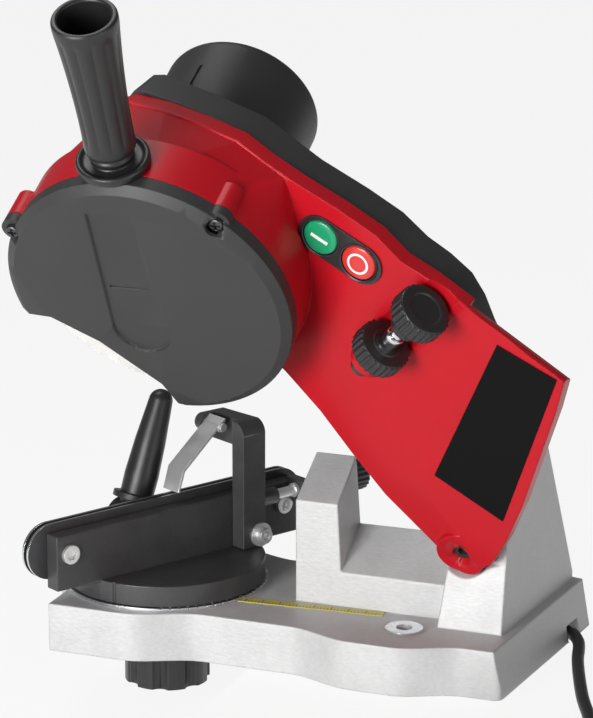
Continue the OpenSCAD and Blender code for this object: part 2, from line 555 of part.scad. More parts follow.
// The body that blends the guard chamber into the main shell
module saddle(a0, a1, r, low, y0, inset) hull() {
    at_head() slab(a0, a1) intersection() {
        translate(wheel_at) circle(r = r, $fn = 48);
        translate([-300, low]) square([300, 200]);
    }
    in_face(y0, y0 + 2) intersection() {
        offset(delta = -inset) polygon(shell_points);
        translate([-300, low + 2]) square([210 - inset, 200]);
    }
}
module front_housing() color([0.74, 0.08, 0.16]) difference() {
    union() {
        // main shell with its sloped lower side
        difference() {
            in_face(0, front_depth) face_outline();
            difference() {
                intersection() {
                    in_face(shell_wall, front_depth + 1) offset(delta = -shell_wall) face_outline();
                    union() {
                        in_face(0, front_depth - shell_wall) square(600, center = true);
                        in_face(0, front_depth + 1) offset(delta = -shell_wall) rear_outline();
                    }
                }
                at_face() translate([0, shell_wall, 0]) creases();
                back_bevel(shell_wall + 1);
                at_screw() translate([0, 0, -12]) cylinder(r = 19.5, h = 84);
                for (p = shell_screws) face_bar(5.5, 0, front_depth + 2, p);
            }
            at_face() creases();
            back_bevel(0);
        }
        // guard chamber
        at_head() difference() {
            slab(drum_a[0], drum_a[1]) guard_outline(guard_r);
            // room for the stop's pawl when the head is down
            slab(drum_a[1] - 8, drum_a[1] + 1) polygon([[-165, 75], [-138, 75], [-138, 93], [-148, 96],
                [-165, 100]]);
        }
        at_head() bar(26, drum_a[1] - 2, 63, wheel_at);
        // saddle between the chamber and the main shell
        difference() {
            saddle(drum_a[0] + 6, drum_a[1] - 2, guard_r - 1, 150, 0.6, 1.4);
            saddle(drum_a[1] + 1, drum_a[1] + 2, guard_r - 6, 158, 4, 6);
        }
        // boss of the pivot, boss of the handle, bosses of the cover's screws, lug of the depth screw
        at_head() bar(boss_r, 0, boss_a);
        intersection() {
            at_handle() translate([0, 0, -14]) cylinder(r = 13, h = 14);
            at_head() slab(drum_a[0], drum_a[1]) translate([-200, 200]) square([100, 60]);
        }
        at_head() for (p = lug_places) bar(7, drum_a[0], 38, p);
        at_screw() {
            translate([0, 0, -8.3]) cylinder(r = 10, h = 8);
            translate([-10, 0, -8.3]) cube([20, 15, 8]);
        }
    }
    // chamber, spindle, front bearing
    at_head() slab(drum_a[0] - 1, drum_a[1] - shell_wall) guard_outline(guard_r - shell_wall);
    at_head() bar(spindle_r + 1.5, 0, 80, wheel_at);
    at_head() bar(bearing_r, 50, 90, wheel_at);
    // pivot bore, its counterbore and the spring's pocket
    at_head() bar(pivot_r, -5, boss_a + 5);
    at_head() bar(pivot_r + 1.5, -5, 9);
    at_head() bar(9.4, boss_a - 9.6, boss_a + 5);
    // trough of the depth knobs, bush, handle stud
    at_screw() cylinder(r = 17, h = 74);
    at_screw() translate([0, 0, -9]) cylinder(r = 6, h = 10);
    at_handle() translate([0, 0, -4.4]) cylinder(r = 4, h = 14);
    for (p = lug_places) at_head() bar(1.8, 10, 40, p);
    // switch plate, buttons and shell screws
    in_face(-3, 0) plate_outline(11.9);
    for (p = button_places) face_bar(button_r + gap, -5, 8, p);
    for (p = shell_screws) face_bar(1.8, 7.6, 12, p);
}
module rear_housing() color([0.22, 0.22, 0.24]) difference() {
    union() {
        difference() {
            in_face(front_depth, front_depth + rear_depth) rear_outline();
            in_face(front_depth - 1, front_depth + rear_depth - shell_wall) offset(delta = -shell_wall)
                rear_outline();
        }
        intersection() {
            shell_bosses(front_depth, front_depth + rear_depth - 1);
            in_face(front_depth, front_depth + rear_depth - 1) rear_outline();
        }
    }
    // motor cover's seat, room for the tower, screws
    at_head() bar(motor_r, 40, 190, cover_at);
    at_head() bar(42, boss_a - 0.5, 140);
    at_head() bar(boss_r + gap, -5, boss_a + 5);
    for (p = shell_screws) face_bar(2.3, 0, 40, p);
    for (p = shell_screws) face_bar(4.3, front_depth + rear_depth - 2.5, 40, p);
}
motor_end = 176;
module motor_cover() color([0.20, 0.20, 0.22]) at_head() difference() {
    union() {
        bar(motor_r, 64, motor_end - 6, cover_at);
        translate([cover_at[0], motor_end - 6, cover_at[1]]) rotate([-90, 0, 0]) rotate_extrude()
            polygon(concat([[0, -1], [motor_r, -1]], arc_points([motor_r - 6, 0], 6, 0, 90, 8), [[0, 6]]));
    }
    difference() {
        bar(motor_r - 3, 60, motor_end - 3, cover_at);
        pipe(bearing_r + 3, bearing_r, 157, motor_end, wheel_at);
    }
    // cooling slots in the rear and one long one along the side
    for (i = [-2:2], s = [-1, 1]) translate([cover_at[0] - 12, motor_end - 5,
        cover_at[1] + 25 * s + 3 * i]) cube([24, 10, 1.6]);
    translate([cover_at[0], 112, cover_at[1]]) rotate([0, -10, 0]) translate([-1, 0, motor_r - 1])
        cube([1.6, 40, 4]);
    in_face_cut();
}
// Everything in front of the rear shell's inner floor
module in_face_cut() translate([0, face_set, 0]) rotate(face_turn) translate([-400, -200, -100])
    cube([600, 200 + front_depth + 4, 500]);

// ---- head: wheel and drive ----------------------------------------------------------------
module grinding_wheel() color([0.93, 0.92, 0.90]) at_head() pipe(wheel_d / 2, wheel_bore / 2,
    wheel_a - wheel_t / 2, wheel_a + wheel_t / 2, wheel_at);
module inner_flange() color([0.6, 0.6, 0.62]) at_head() difference() {
    union() {
        bar(21, wheel_a + wheel_t / 2, wheel_a + wheel_t / 2 + 3, wheel_at);
        bar(12, wheel_a + wheel_t / 2 + 2, 34, wheel_at);
        bar(wheel_bore / 2 - fit, wheel_a - wheel_t / 2 + 0.4, wheel_a + wheel_t / 2 + 1, wheel_at);
    }
    bar(spindle_r, 0, 60, wheel_at);
}
module outer_flange() color([0.6, 0.6, 0.62]) at_head() pipe(21, spindle_r, wheel_a - wheel_t / 2 - 3,
    wheel_a - wheel_t / 2, wheel_at);
module spindle_nut() color([0.5, 0.5, 0.52]) at_head() difference() {
    translate([wheel_at[0], wheel_a - wheel_t / 2 - 8.6, wheel_at[1]]) rotate([-90, 0, 0])
        cylinder(r = 11, h = 5.6, $fn = 6);
    bar(spindle_r, 0, 60, wheel_at);
}
module spindle_shaft() color([0.66, 0.66, 0.68]) at_head() bar(spindle_r, 12.8, 169, wheel_at);
module bearing(a0) {
    pipe(bearing_r, bearing_r - 2.5, a0, a0 + 8, wheel_at);
    pipe(spindle_r + 2.5, spindle_r + fit, a0, a0 + 8, wheel_at);
    pipe(bearing_r - 2, spindle_r + 2, a0 + 1, a0 + 7, wheel_at);
}
module front_bearing() color([0.7, 0.7, 0.72]) at_head() bearing(50);
module rear_bearing() color([0.7, 0.7, 0.72]) at_head() bearing(160);
module stator() color([0.45, 0.40, 0.36]) at_head() difference() {
    bar(37.8, 108, 146, wheel_at);
    bar(27.6, 100, 150, wheel_at);
    for (i = [0:11]) translate([wheel_at[0], 100, wheel_at[1]]) rotate([0, 30 * i, 0]) translate([30, 0,
        -2]) cube([4, 60, 4]);
}
module rotor() color([0.5, 0.36, 0.22]) at_head() {
    pipe(27, spindle_r, 110, 144, wheel_at);
    pipe(20, spindle_r, 104, 110, wheel_at);
    pipe(20, spindle_r, 144, 149, wheel_at);
}
module fan() color([0.12, 0.12, 0.12]) at_head() {
    pipe(10, spindle_r, 150, 157, wheel_at);
    pipe(30, 8, 150, 151.2, wheel_at);
    for (i = [0:8]) translate([wheel_at[0], 150.5, wheel_at[1]]) rotate([0, 40 * i, 0]) translate([9, 0,
        -0.8]) cube([20, 5.5, 1.6]);
}

// ---- head: guard cover --------------------------------------------------------------------
module cover_plate(r, a0, a1) slab(a0, a1) guard_outline(r);
module tongue(inset) difference() {
    union() {
        polygon([[-173 + inset, 222 - inset], [-147 - inset, 222 - inset], [-142.5 - inset, 141],
            [-176.5 + inset, 141]]);
        translate([-159.5, 141]) circle(r = 17 - inset);
    }
    polygon(chord_points);
}
module guard_cover() color([0.23, 0.23, 0.25]) at_head() difference() {
    union() {
        difference() {
            union() {
                cover_plate(guard_r, cover_a + 4, drum_a[0] - 0.1);
                hull() {
                    cover_plate(guard_r, cover_a + 3.9, cover_a + 4);
                    cover_plate(guard_r - 5, cover_a, cover_a + 0.1);
                }
            }
            slab(cover_a + 2.5, drum_a[0] + 1) guard_outline(guard_r - 7);
            slab(cover_a + 6, drum_a[0] + 1) guard_outline(guard_r - 2.5);
        }
        slab(cover_a + 1, cover_a + 4.2) tongue(-2);
        for (p = lug_places) bar(7, cover_a + 6, drum_a[0] - 0.1, p);
    }
    slab(cover_a - 1, cover_a + 2.2) tongue(0);
    translate([-172, cover_a + 1.6, 168]) cube([22, 2.2, 2]);
    for (p = lug_places) bar(2.2, 0, 30, p);
    for (p = lug_places) bar(4.5, 0, cover_a + 6, p);
    polygon_cut();
}
module polygon_cut() slab(0, drum_a[0] + 1) polygon(chord_points);
module guard_screws() color([0.45, 0.45, 0.47]) at_head() for (p = lug_places) difference() {
    union() {
        bar(1.8, cover_a + 5, 38, p);
        bar(4.2, cover_a + 3, cover_a + 6, p);
    }
    translate([p[0] - 5, cover_a + 2, p[1] - 0.6]) cube([10, 2.2, 1.2]);
}

// ---- head: handle, switch, panel ----------------------------------------------------------
module handle_grip() color([0.08, 0.08, 0.08]) at_handle() difference() {
    rotate_extrude() polygon([[0, 0], [19.5, 0], [19.5, 6], [16.2, 6], [13.5, 20], [14, 46], [16.6, 86],
        [17, 92], [16.2, 95.6], [0, 95.6]]);
    translate([0, 0, 52]) cylinder(r = 13.2, h = 50);
    translate([0, 0, -1]) cylinder(r = 4, h = 60);
}
module handle_stud() color([0.6, 0.6, 0.62]) at_handle() {
    translate([0, 0, -4.4]) cylinder(r = 4, h = 62.4);
    translate([0, 0, 52]) cylinder(r = 7.5, h = 6, $fn = 6);
}
button_places = [[-71.6, 185.1], [-49.7, 174.7]];
plate_mid = [-60.6, 179.9];
plate_angle = -25.4;
module plate_outline(r) translate(plate_mid) rotate(plate_angle) {
    square([27.5, 2 * r], center = true);
    for (s = [-1, 1]) translate([13.75 * s, 0]) circle(r = r);
}
module switch_plate() color([0.13, 0.13, 0.14]) at_face() difference() {
    slab(-1.2, -0.05) plate_outline(11.8);
    for (p = button_places) bar(button_r + gap, -5, 5, p);
}
module start_button() color([0.0, 0.5, 0.3]) difference() {
    face_bar(button_r, -2.8, 2.8, button_places[0]);
    at_face() translate([button_places[0][0], -3.2, button_places[0][1]]) rotate([0, -plate_angle, 0])
        translate([-0.8, 0, -5]) cube([1.6, 0.8, 10]);
}
module stop_button() color([0.75, 0.08, 0.1]) difference() {
    face_bar(button_r, -2.6, 2.8, button_places[1]);
    at_face() pipe(7.2, 5.4, -3, -2.2, button_places[1]);
}
module switch_body() color([0.1, 0.1, 0.11]) at_face() difference() {
    translate([plate_mid[0], 0, plate_mid[1]]) rotate([0, -plate_angle, 0]) translate([-23, 6.2, -10])
        cube([46, 20, 20]);
    for (s = [-1, 1]) translate([plate_mid[0], 0, plate_mid[1]]) rotate([0, -plate_angle, 0])
        translate([s * 19 - 2, 22, -6]) cube([4, 6, 12]);
}
module capacitor() color([0.75, 0.75, 0.78]) at_face() translate([-66, 14.4, 118]) rotate([0, 150, 0]) {
    cylinder(r = 11, h = 46);
    translate([0, 0, 45]) cylinder(r = 6, h = 4);
}
module info_panel() color([0.07, 0.07, 0.08]) in_face(-0.6, 0) polygon([[28.5, 143.5], [62, 130.5], [27,
    32], [-13, 50.8]]);
module housing_screws() color([0.45, 0.45, 0.47]) for (p = shell_screws) {
    face_bar(1.8, 8, front_depth + rear_depth - 2, p);
    face_bar(4, front_depth + rear_depth - 2.4, front_depth + rear_depth - 0.2, p);
}

// ---- head: depth adjuster -----------------------------------------------------------------
module knurl(r, n, h) for (i = [1:n]) rotate([0, 0, 360 / n * i]) translate([r, 0, -1]) cylinder(r = 1.1,
    h = h + 2, $fn = 16);
module depth_bush() color([0.75, 0.62, 0.3]) at_screw() translate([0, 0, -8.3]) difference() {
    cylinder(r = 6, h = 8);
    translate([0, 0, -1]) cylinder(r = screw_r + fit, h = 10);
}
module depth_screw() color([0.78, 0.78, 0.80]) at_screw() translate([0, 0, -11.5]) cylinder(r = screw_r,
    h = 55.5);
module depth_lock_nut() color([0.06, 0.06, 0.06]) at_screw() difference() {
    union() {
        cylinder(r = knob_r, h = 11.6);
        cylinder(r = 8, h = 12.4);
    }
    knurl(knob_r + 0.3, 20, 12);
    translate([0, 0, -1]) cylinder(r = screw_r + fit, h = 20);
}
module depth_knob() color([0.06, 0.06, 0.06]) at_screw() translate([0, 0, 28]) difference() {
    union() {
        cylinder(r = 8, h = 11);
        translate([0, 0, 10]) cylinder(r = knob_r, h = 12);
    }
    translate([0, 0, 10]) knurl(knob_r + 0.3, 20, 12);
    translate([0, 0, -1]) cylinder(r = screw_r, h = 17);
}
module depth_foot() color([0.7, 0.7, 0.72]) at_screw() difference() {
    translate([0, 0, -15.5]) cylinder(r = 5.5, h = 6);
    translate([0, 0, -11.5 - gap]) cylinder(r = screw_r + fit, h = 10);
}

base_casting();
scale_ring();
scale_strip();
pivot_bolt();
pivot_nut();
return_spring();
cord_clamp();
cord_gland();
mains_cord();
cord_coil();
mains_plug();
plug_pins();
turntable();
front_rail();
rear_rail();
rear_jaw();
jaw_screws();
clamp_lever();
lever_stud();
turntable_stud();
clamp_knob();
stop_bracket();
stop_lock_screw();
stop_pawl();
pawl_pin();
stop_rod();
stop_knob();
front_housing();
rear_housing();
motor_cover();
stator();
rotor();
spindle_shaft();
front_bearing();
rear_bearing();
fan();
inner_flange();
grinding_wheel();
outer_flange();
spindle_nut();
guard_cover();
guard_screws();
handle_grip();
handle_stud();
switch_plate();
start_button();
stop_button();
switch_body();
capacitor();
info_panel();
housing_screws();
depth_bush();
depth_screw();
depth_knob();
depth_lock_nut();
depth_foot();
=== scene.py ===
# %% [markdown]
# # An electric chainsaw sharpener, finished around its CAD frame
# The CAD part gives every size and every joint. This lesson gives the machine its
# surfaces: moulded shells with soft edges, a sanded casting, enamel, steel and rubber.
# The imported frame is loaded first, because every piece is placed by it.

# %% Load the frame
import json
from math import atan2, cos, radians, sin, tau

import bmesh
import bpy
from mathutils import Matrix, Vector

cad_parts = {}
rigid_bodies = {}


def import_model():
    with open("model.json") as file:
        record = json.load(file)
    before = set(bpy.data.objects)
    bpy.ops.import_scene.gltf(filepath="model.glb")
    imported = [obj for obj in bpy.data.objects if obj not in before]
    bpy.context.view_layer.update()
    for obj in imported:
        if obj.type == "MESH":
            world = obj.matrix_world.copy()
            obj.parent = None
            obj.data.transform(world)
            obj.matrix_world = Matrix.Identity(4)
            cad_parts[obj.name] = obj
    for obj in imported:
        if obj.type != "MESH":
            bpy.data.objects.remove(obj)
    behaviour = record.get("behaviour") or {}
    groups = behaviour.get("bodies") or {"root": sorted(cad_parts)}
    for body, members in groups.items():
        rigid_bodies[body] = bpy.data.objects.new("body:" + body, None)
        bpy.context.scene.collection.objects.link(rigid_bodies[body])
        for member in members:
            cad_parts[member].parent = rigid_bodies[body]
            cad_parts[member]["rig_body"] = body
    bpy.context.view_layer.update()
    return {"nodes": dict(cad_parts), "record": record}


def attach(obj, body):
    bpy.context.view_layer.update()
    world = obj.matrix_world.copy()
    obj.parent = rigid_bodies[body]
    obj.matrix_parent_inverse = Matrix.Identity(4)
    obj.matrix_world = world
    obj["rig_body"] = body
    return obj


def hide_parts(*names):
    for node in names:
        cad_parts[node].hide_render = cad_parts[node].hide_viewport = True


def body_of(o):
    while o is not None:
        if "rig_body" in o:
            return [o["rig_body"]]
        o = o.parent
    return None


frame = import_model()
MM = 0.001
nodes = frame["nodes"]
body_of_node = {name: body_of(part)[0] for name, part in nodes.items()}
slot_of_node = {s["node"]: s["material_slot"] for s in frame["record"]["subparts"]}

# %% [markdown]
# ## Camera
# The photograph was taken with a long lens from the near right, a little above. The
# same camera was fitted to the bench bolts, the wheel guard and the turntable, so it
# is set by numbers. It could also be aimed with a constraint, but numbers are exact.

# %% Camera
camera = bpy.data.objects.new("camera", bpy.data.cameras.new("camera"))
camera.data.lens = 150.4
camera.data.sensor_width = 36
camera.data.clip_end = 20
camera.location = (0.5038, -1.5054, 0.5950)
camera.rotation_euler = (radians(75), 0, radians(21.2))
bpy.context.scene.collection.objects.link(camera)
bpy.context.scene.camera = camera
print("camera at", tuple(round(v, 3) for v in camera.location))

# %% [markdown]
# ## Places on the machine
# The head is built lying at 30 degrees, and the main face slopes within it. Each
# place is one matrix, the same as the CAD's, so that a piece is made about its own
# axis first and then moved home in its mesh.

# %% Frames of the sub-assemblies
def shift(x, y, z):
    return Matrix.Translation(Vector((x, y, z)) * MM)


def turned(degrees, axis):
    return Matrix.Rotation(radians(degrees), 4, axis)


HEAD = shift(29.5, -35, 72) @ turned(30, "X")
FACE = HEAD @ shift(0, -2, 0) @ turned(-10.06, "Z") @ turned(-12.35, "X")
VISE = shift(-156, -11, 28) @ turned(60.9, "Z")
DEPTH = HEAD @ shift(-34.1, 20, 128.1) @ turned(43, "Y")
HANDLE = HEAD @ shift(-158, 26, 242.1) @ turned(4.2, "Y")
OUTWARD = turned(90, "X")  # a lathe's +z becomes the side that faces the user
print("head pivot at", tuple(round(v, 4) for v in HEAD.translation))

# %% [markdown]
# ## Finishes
# Every finish is the same small network: noise that varies the colour, noise that
# varies the gloss, and a fine bump. A painter would mix each by hand; one helper with
# a few settings keeps the scale of the grain honest, because object coordinates are
# metres: a scale of 1000 is a grain of about a millimetre. A Bevel node rounds the
# arrises that are too small for geometry.

# %% One helper for all finishes
COLOUR_A, COLOUR_B, COLOUR_OUT = 6, 7, 2  # the sockets of a Mix node that carry colours
NOISE_LOW, NOISE_HIGH = 0.3, 0.7  # a noise texture seldom leaves this range
FINE_SHARE = 0.45  # how much of the colour's variation follows the fine grain
COAT_ROUGH = 0.12


def finish(name, colour, rough, metal=0.0, spread=0.15, blotch=40.0, gloss_spread=0.06,
           grain=1500.0, bump=0.1, depth=0.0001, stretch=None, coat=0.0, specular=0.5,
           spots=None, edge=0.0004):
    mat = bpy.data.materials.new(name)
    mat.use_nodes = True
    tree = mat.node_tree
    shader = tree.nodes["Principled BSDF"]

    def node(kind, **values):
        made = tree.nodes.new(kind)
        for key, value in values.items():
            if key in made.inputs:
                made.inputs[key].default_value = value
            else:
                setattr(made, key, value)
        return made

    def wire(source, target):
        tree.links.new(source, target)

    def ranged(source, low, high):
        made = node("ShaderNodeMapRange")
        made.inputs["From Min"].default_value = NOISE_LOW
        made.inputs["From Max"].default_value = NOISE_HIGH
        made.inputs["To Min"].default_value = low
        made.inputs["To Max"].default_value = high
        wire(source, made.inputs["Value"])
        return made.outputs["Result"]

    # broad blotches, and a fine grain that may be stretched along the tool's marks
    where = node("ShaderNodeTexCoord").outputs["Object"]
    lie = node("ShaderNodeMapping")
    wire(where, lie.inputs["Vector"])
    if stretch:
        lie.inputs["Rotation"].default_value = [radians(v) for v in stretch[0]]
        lie.inputs["Scale"].default_value = stretch[1]
    broad = node("ShaderNodeTexNoise", Scale=blotch, Detail=5.0, Roughness=0.6)
    wire(where, broad.inputs["Vector"])
    fine = node("ShaderNodeTexNoise", Scale=grain, Detail=3.0, Roughness=0.55)
    wire(lie.outputs["Vector"], fine.inputs["Vector"])

    # the colour runs from a darker to a lighter tone with both noises
    tone = node("ShaderNodeMix", data_type="RGBA")
    dark = [c * (1 - spread) for c in colour]
    light = [min(1.0, c * (1 + 0.5 * spread)) for c in colour]
    tone.inputs[COLOUR_A].default_value = (*dark, 1)
    tone.inputs[COLOUR_B].default_value = (*light, 1)
    both = node("ShaderNodeMath", operation="MULTIPLY_ADD")
    wire(fine.outputs["Fac"], both.inputs[0])
    both.inputs[1].default_value = FINE_SHARE
    lessened = node("ShaderNodeMath", operation="MULTIPLY")
    wire(broad.outputs["Fac"], lessened.inputs[0])
    lessened.inputs[1].default_value = 1 - FINE_SHARE
    wire(lessened.outputs[0], both.inputs[2])
    wire(ranged(both.outputs[0], 0.0, 1.0), tone.inputs[0])
    colour_out = tone.outputs[COLOUR_OUT]
    if spots:
        density, size, spot_colour = spots
        cells = node("ShaderNodeTexVoronoi", Scale=density)
        wire(where, cells.inputs["Vector"])
        mask = node("ShaderNodeMath", operation="LESS_THAN")
        wire(cells.outputs["Distance"], mask.inputs[0])
        mask.inputs[1].default_value = size
        speck = node("ShaderNodeMix", data_type="RGBA")
        wire(mask.outputs[0], speck.inputs[0])
        wire(colour_out, speck.inputs[COLOUR_A])
        speck.inputs[COLOUR_B].default_value = (*spot_colour, 1)
        colour_out = speck.outputs[COLOUR_OUT]
    wire(colour_out, shader.inputs["Base Color"])

    wire(ranged(broad.outputs["Fac"], rough - gloss_spread, rough + gloss_spread),
         shader.inputs["Roughness"])
    shader.inputs["Metallic"].default_value = metal
    shader.inputs["Coat Weight"].default_value = coat
    shader.inputs["Coat Roughness"].default_value = COAT_ROUGH
    shader.inputs["Specular IOR Level"].default_value = specular

    relief = node("ShaderNodeBump", Strength=bump, Distance=depth)
    wire(fine.outputs["Fac"], relief.inputs["Height"])
    if edge:
        arris = node("ShaderNodeBevel", Radius=edge, samples=3)
        wire(arris.outputs["Normal"], relief.inputs["Normal"])
    wire(relief.outputs["Normal"], shader.inputs["Normal"])
    return mat


print("finish helper ready")

# %% [markdown]
# The casting is sand-cast aluminium that was linished: broad blotches, a fine tooth and
# streaks along its length. The vise and the chain stop are cast iron under black enamel.
# An image of a real casting would do too, but noise has no seams and no repeat.

# %% Casting and enamel
FINISH = {
    "cast_alloy": finish("sanded_casting", (0.56, 0.56, 0.56), rough=0.54, metal=0.25,
                         spread=0.16, gloss_spread=0.08, grain=900, bump=0.45, depth=0.0003,
                         stretch=((0, 0, 8), (0.35, 1, 0.8)),
                         spots=(420, 0.055, (0.36, 0.36, 0.37)), edge=0.0012),
    "vise_paint": finish("black_enamel", (0.040, 0.040, 0.042), rough=0.40, spread=0.25,
                         blotch=60, gloss_spread=0.08, grain=500, bump=0.35, depth=0.0002,
                         coat=0.15, edge=0.0008),
    "stop_paint": finish("stop_enamel", (0.045, 0.045, 0.047), rough=0.42, spread=0.25,
                         blotch=70, gloss_spread=0.08, grain=600, bump=0.4, depth=0.0002,
                         coat=0.1, edge=0.0006),
}
print("castings:", list(FINISH))

# %% [markdown]
# The metals differ in their gloss and their grain: a turned part is smooth, a plated screw
# is paler and duller, and a ground rail has fine streaks along its length, so its grain is
# stretched in the direction in which the rails lie. The rails' broad sides kept a dark
# scale, so they get a finish of their own.

# %% Metals
ALONG_RAIL = ((0, 0, -60.9), (0.02, 1.0, 1.0))
FINISH |= {
    "machined_alloy": finish("turned_alloy", (0.74, 0.75, 0.77), rough=0.28, metal=1.0,
                             spread=0.10, blotch=50, grain=1200, bump=0.2),
    "rail_steel": finish("ground_steel", (0.72, 0.73, 0.74), rough=0.24, metal=1.0,
                         spread=0.16, blotch=70, gloss_spread=0.08, grain=1800, bump=0.25,
                         stretch=ALONG_RAIL),
    "bright_steel": finish("zinc_plate", (0.78, 0.78, 0.78), rough=0.40, metal=0.85,
                           spread=0.08, blotch=90, grain=1400, bump=0.12),
    "dark_steel": finish("blackened_steel", (0.10, 0.10, 0.105), rough=0.36, metal=0.9,
                         spread=0.2, blotch=120, gloss_spread=0.08, grain=1400, bump=0.2),
    "screw_chrome": finish("bright_shank", (0.82, 0.82, 0.84), rough=0.14, metal=1.0,
                           spread=0.06, blotch=120, gloss_spread=0.04, grain=1600),
    "pin_metal": finish("pin_nickel", (0.74, 0.70, 0.60), rough=0.22, metal=1.0,
                        spread=0.08, blotch=120, gloss_spread=0.04),
    "bush_brass": finish("turned_brass", (0.70, 0.50, 0.18), rough=0.28, metal=1.0,
                         spread=0.12, blotch=90, bump=0.2),
    "capacitor_can": finish("drawn_can", (0.70, 0.71, 0.73), rough=0.32, metal=1.0,
                            spread=0.1, blotch=60, bump=0.2),
    "laminations": finish("varnished_stack", (0.20, 0.16, 0.13), rough=0.55, metal=0.3,
                          spread=0.25, blotch=90, gloss_spread=0.08, grain=1600, bump=0.5,
                          depth=0.0002, stretch=((0, 0, 0), (0.2, 4, 4))),
    "windings": finish("copper_winding", (0.50, 0.20, 0.08), rough=0.34, metal=0.9,
                       spread=0.3, blotch=120, gloss_spread=0.08, bump=0.5, depth=0.0002),
}
rail_scale = finish("dark_rail_face", (0.075, 0.075, 0.078), rough=0.36, metal=0.55,
                    spread=0.25, blotch=60, gloss_spread=0.08, grain=1600, bump=0.3,
                    stretch=ALONG_RAIL)
print("with the metals:", len(FINISH) + 1)

# %% [markdown]
# The shells are moulded plastic with a fine spark grain. The red is the glossier, with a
# light coat, and the greys are satin; the buttons have more coat. A full clear coat, as on
# paint, would be too wet for plastic that is coloured all through. The panel on the head
# is left bare, as a black film.

# %% Mouldings
FINISH |= {
    "red_shell": finish("red_moulding", (0.47, 0.005, 0.013), rough=0.38, spread=0.10,
                        blotch=25, gloss_spread=0.05, grain=2200, bump=0.16, coat=0.08,
                        specular=0.22, edge=0.0010),
    "grey_shell": finish("grey_moulding", (0.034, 0.034, 0.035), rough=0.46, spread=0.16,
                         blotch=30, grain=1900, bump=0.35, depth=0.0002, specular=0.4,
                         edge=0.0008),
    "guard_shell": finish("guard_moulding", (0.036, 0.036, 0.037), rough=0.46, spread=0.14,
                          blotch=25, gloss_spread=0.05, grain=1700, bump=0.40, depth=0.0002,
                          specular=0.35, edge=0.0008),
    "black_plastic": finish("black_moulding", (0.016, 0.016, 0.0165), rough=0.38,
                            spread=0.2, blotch=50, gloss_spread=0.07, grain=1800, bump=0.3),
    "switch_frame": finish("switch_moulding", (0.022, 0.022, 0.023), rough=0.30, blotch=60,
                           gloss_spread=0.05, grain=2000, bump=0.15),
    "green_button": finish("green_cap", (0.004, 0.30, 0.13), rough=0.26, spread=0.08,
                           blotch=80, gloss_spread=0.04, grain=2000, coat=0.2),
    "red_button": finish("red_cap", (0.62, 0.035, 0.03), rough=0.26, spread=0.08, blotch=80,
                         gloss_spread=0.04, grain=2000, coat=0.2),
    "panel_film": finish("bare_panel", (0.0012, 0.0012, 0.0013), rough=0.46, spread=0.2,
                         gloss_spread=0.05, grain=2600, bump=0.2, specular=0.12),
    "fan_nylon": finish("natural_nylon", (0.70, 0.69, 0.62), rough=0.46, spread=0.1,
                        blotch=60, bump=0.2),
}
print("with the mouldings:", len(FINISH) + 1)

# %% [markdown]
# What is left is the white wheel, whose grains are specks of a second tone, the rubber of
# the lead and its plug, the yellow strip, and the printed marks. The lead and the marks
# have no hard arris, so their Bevel node is left out.

# %% Wheel, rubber and print
FINISH |= {
    "abrasive": finish("white_abrasive", (0.80, 0.79, 0.76), rough=0.88, spread=0.22,
                       blotch=90, gloss_spread=0.05, grain=2400, bump=0.9, depth=0.0004,
                       spots=(1500, 0.18, (0.55, 0.53, 0.50))),
    "cord_jacket": finish("cord_rubber", (0.022, 0.022, 0.023), rough=0.52, spread=0.2,
                          blotch=120, grain=2200, bump=0.3, edge=0),
    "plug_body": finish("plug_rubber", (0.024, 0.024, 0.025), rough=0.48, spread=0.2,
                        blotch=90, grain=1900, bump=0.3),
    "strip": finish("yellow_rule", (0.56, 0.50, 0.11), rough=0.40, spread=0.14, blotch=60,
                    gloss_spread=0.05),
}
white_mark = finish("white_print", (0.80, 0.80, 0.78), rough=0.40, spread=0.06, blotch=90,
                    gloss_spread=0.04, grain=1800, edge=0)
# black print for the ruler lines; the same finish is painted shade on the pivot bolt and the
# depth foot
print_and_shade_black = finish("black_print_and_painted_shade", (0.03, 0.03, 0.03), rough=0.45, spread=0.1, blotch=90,
                   gloss_spread=0.04, grain=1800, edge=0)
print("finishes:", len(FINISH) + 3)

# %% [markdown]
# ## Small makers
# The first helpers carry every piece: one turns a drawn mesh into plain data in its place,
# one gives it a finish, and one links it as a named piece and tells the frame what it
# rides on. The same few lines could be repeated for each piece, but then one is forgotten.

# %% Meshes and named pieces
def finished(bm, home=None, name="piece"):
    mesh = bpy.data.meshes.new(name)
    bm.to_mesh(mesh)
    bm.free()
    if home is not None:
        mesh.transform(home)
    return mesh


def coloured(mesh, mat):
    mesh.materials.clear()
    mesh.materials.append(mat)
    return mesh


def piece(name, mesh, slot, body, *replaced, smooth=32):
    """Links the mesh as a piece; smooth is the angle, in degrees, where an edge is sharp."""
    made = bpy.data.objects.new(name, mesh)
    bpy.context.scene.collection.objects.link(made)
    if not mesh.materials:
        mesh.materials.append(FINISH[slot])
    if smooth:
        mesh.shade_smooth()
        mesh.set_sharp_from_angle(angle=radians(smooth))
    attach(made, body)
    if replaced:
        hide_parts(*replaced)
    return made


print("piece helpers ready")

# %% [markdown]
# ### Profiles and the lathe
# Knobs, caps and flanges are turned or moulded round. Blender's Screw modifier could turn
# a profile, but a loop of rings lets the radius follow a wave, which the grip needs. The
# corners of a profile are rounded first, as a moulder's radius does.

# %% Profiles and the lathe
def eased(corners, radius, steps=3):
    """The profile with each inner corner rounded by about that radius."""
    out = [corners[0]]
    for before, here, after in zip(corners, corners[1:], corners[2:]):
        b, h, a = Vector(before), Vector(here), Vector(after)
        r = min(radius, 0.45 * (b - h).length, 0.45 * (a - h).length)
        start = h + (b - h).normalized() * r
        end = h + (a - h).normalized() * r
        for i in range(steps + 1):
            t = i / steps
            point = start * (1 - t) ** 2 + h * 2 * t * (1 - t) + end * t * t
            out.append(tuple(point))
    return out + [corners[-1]]


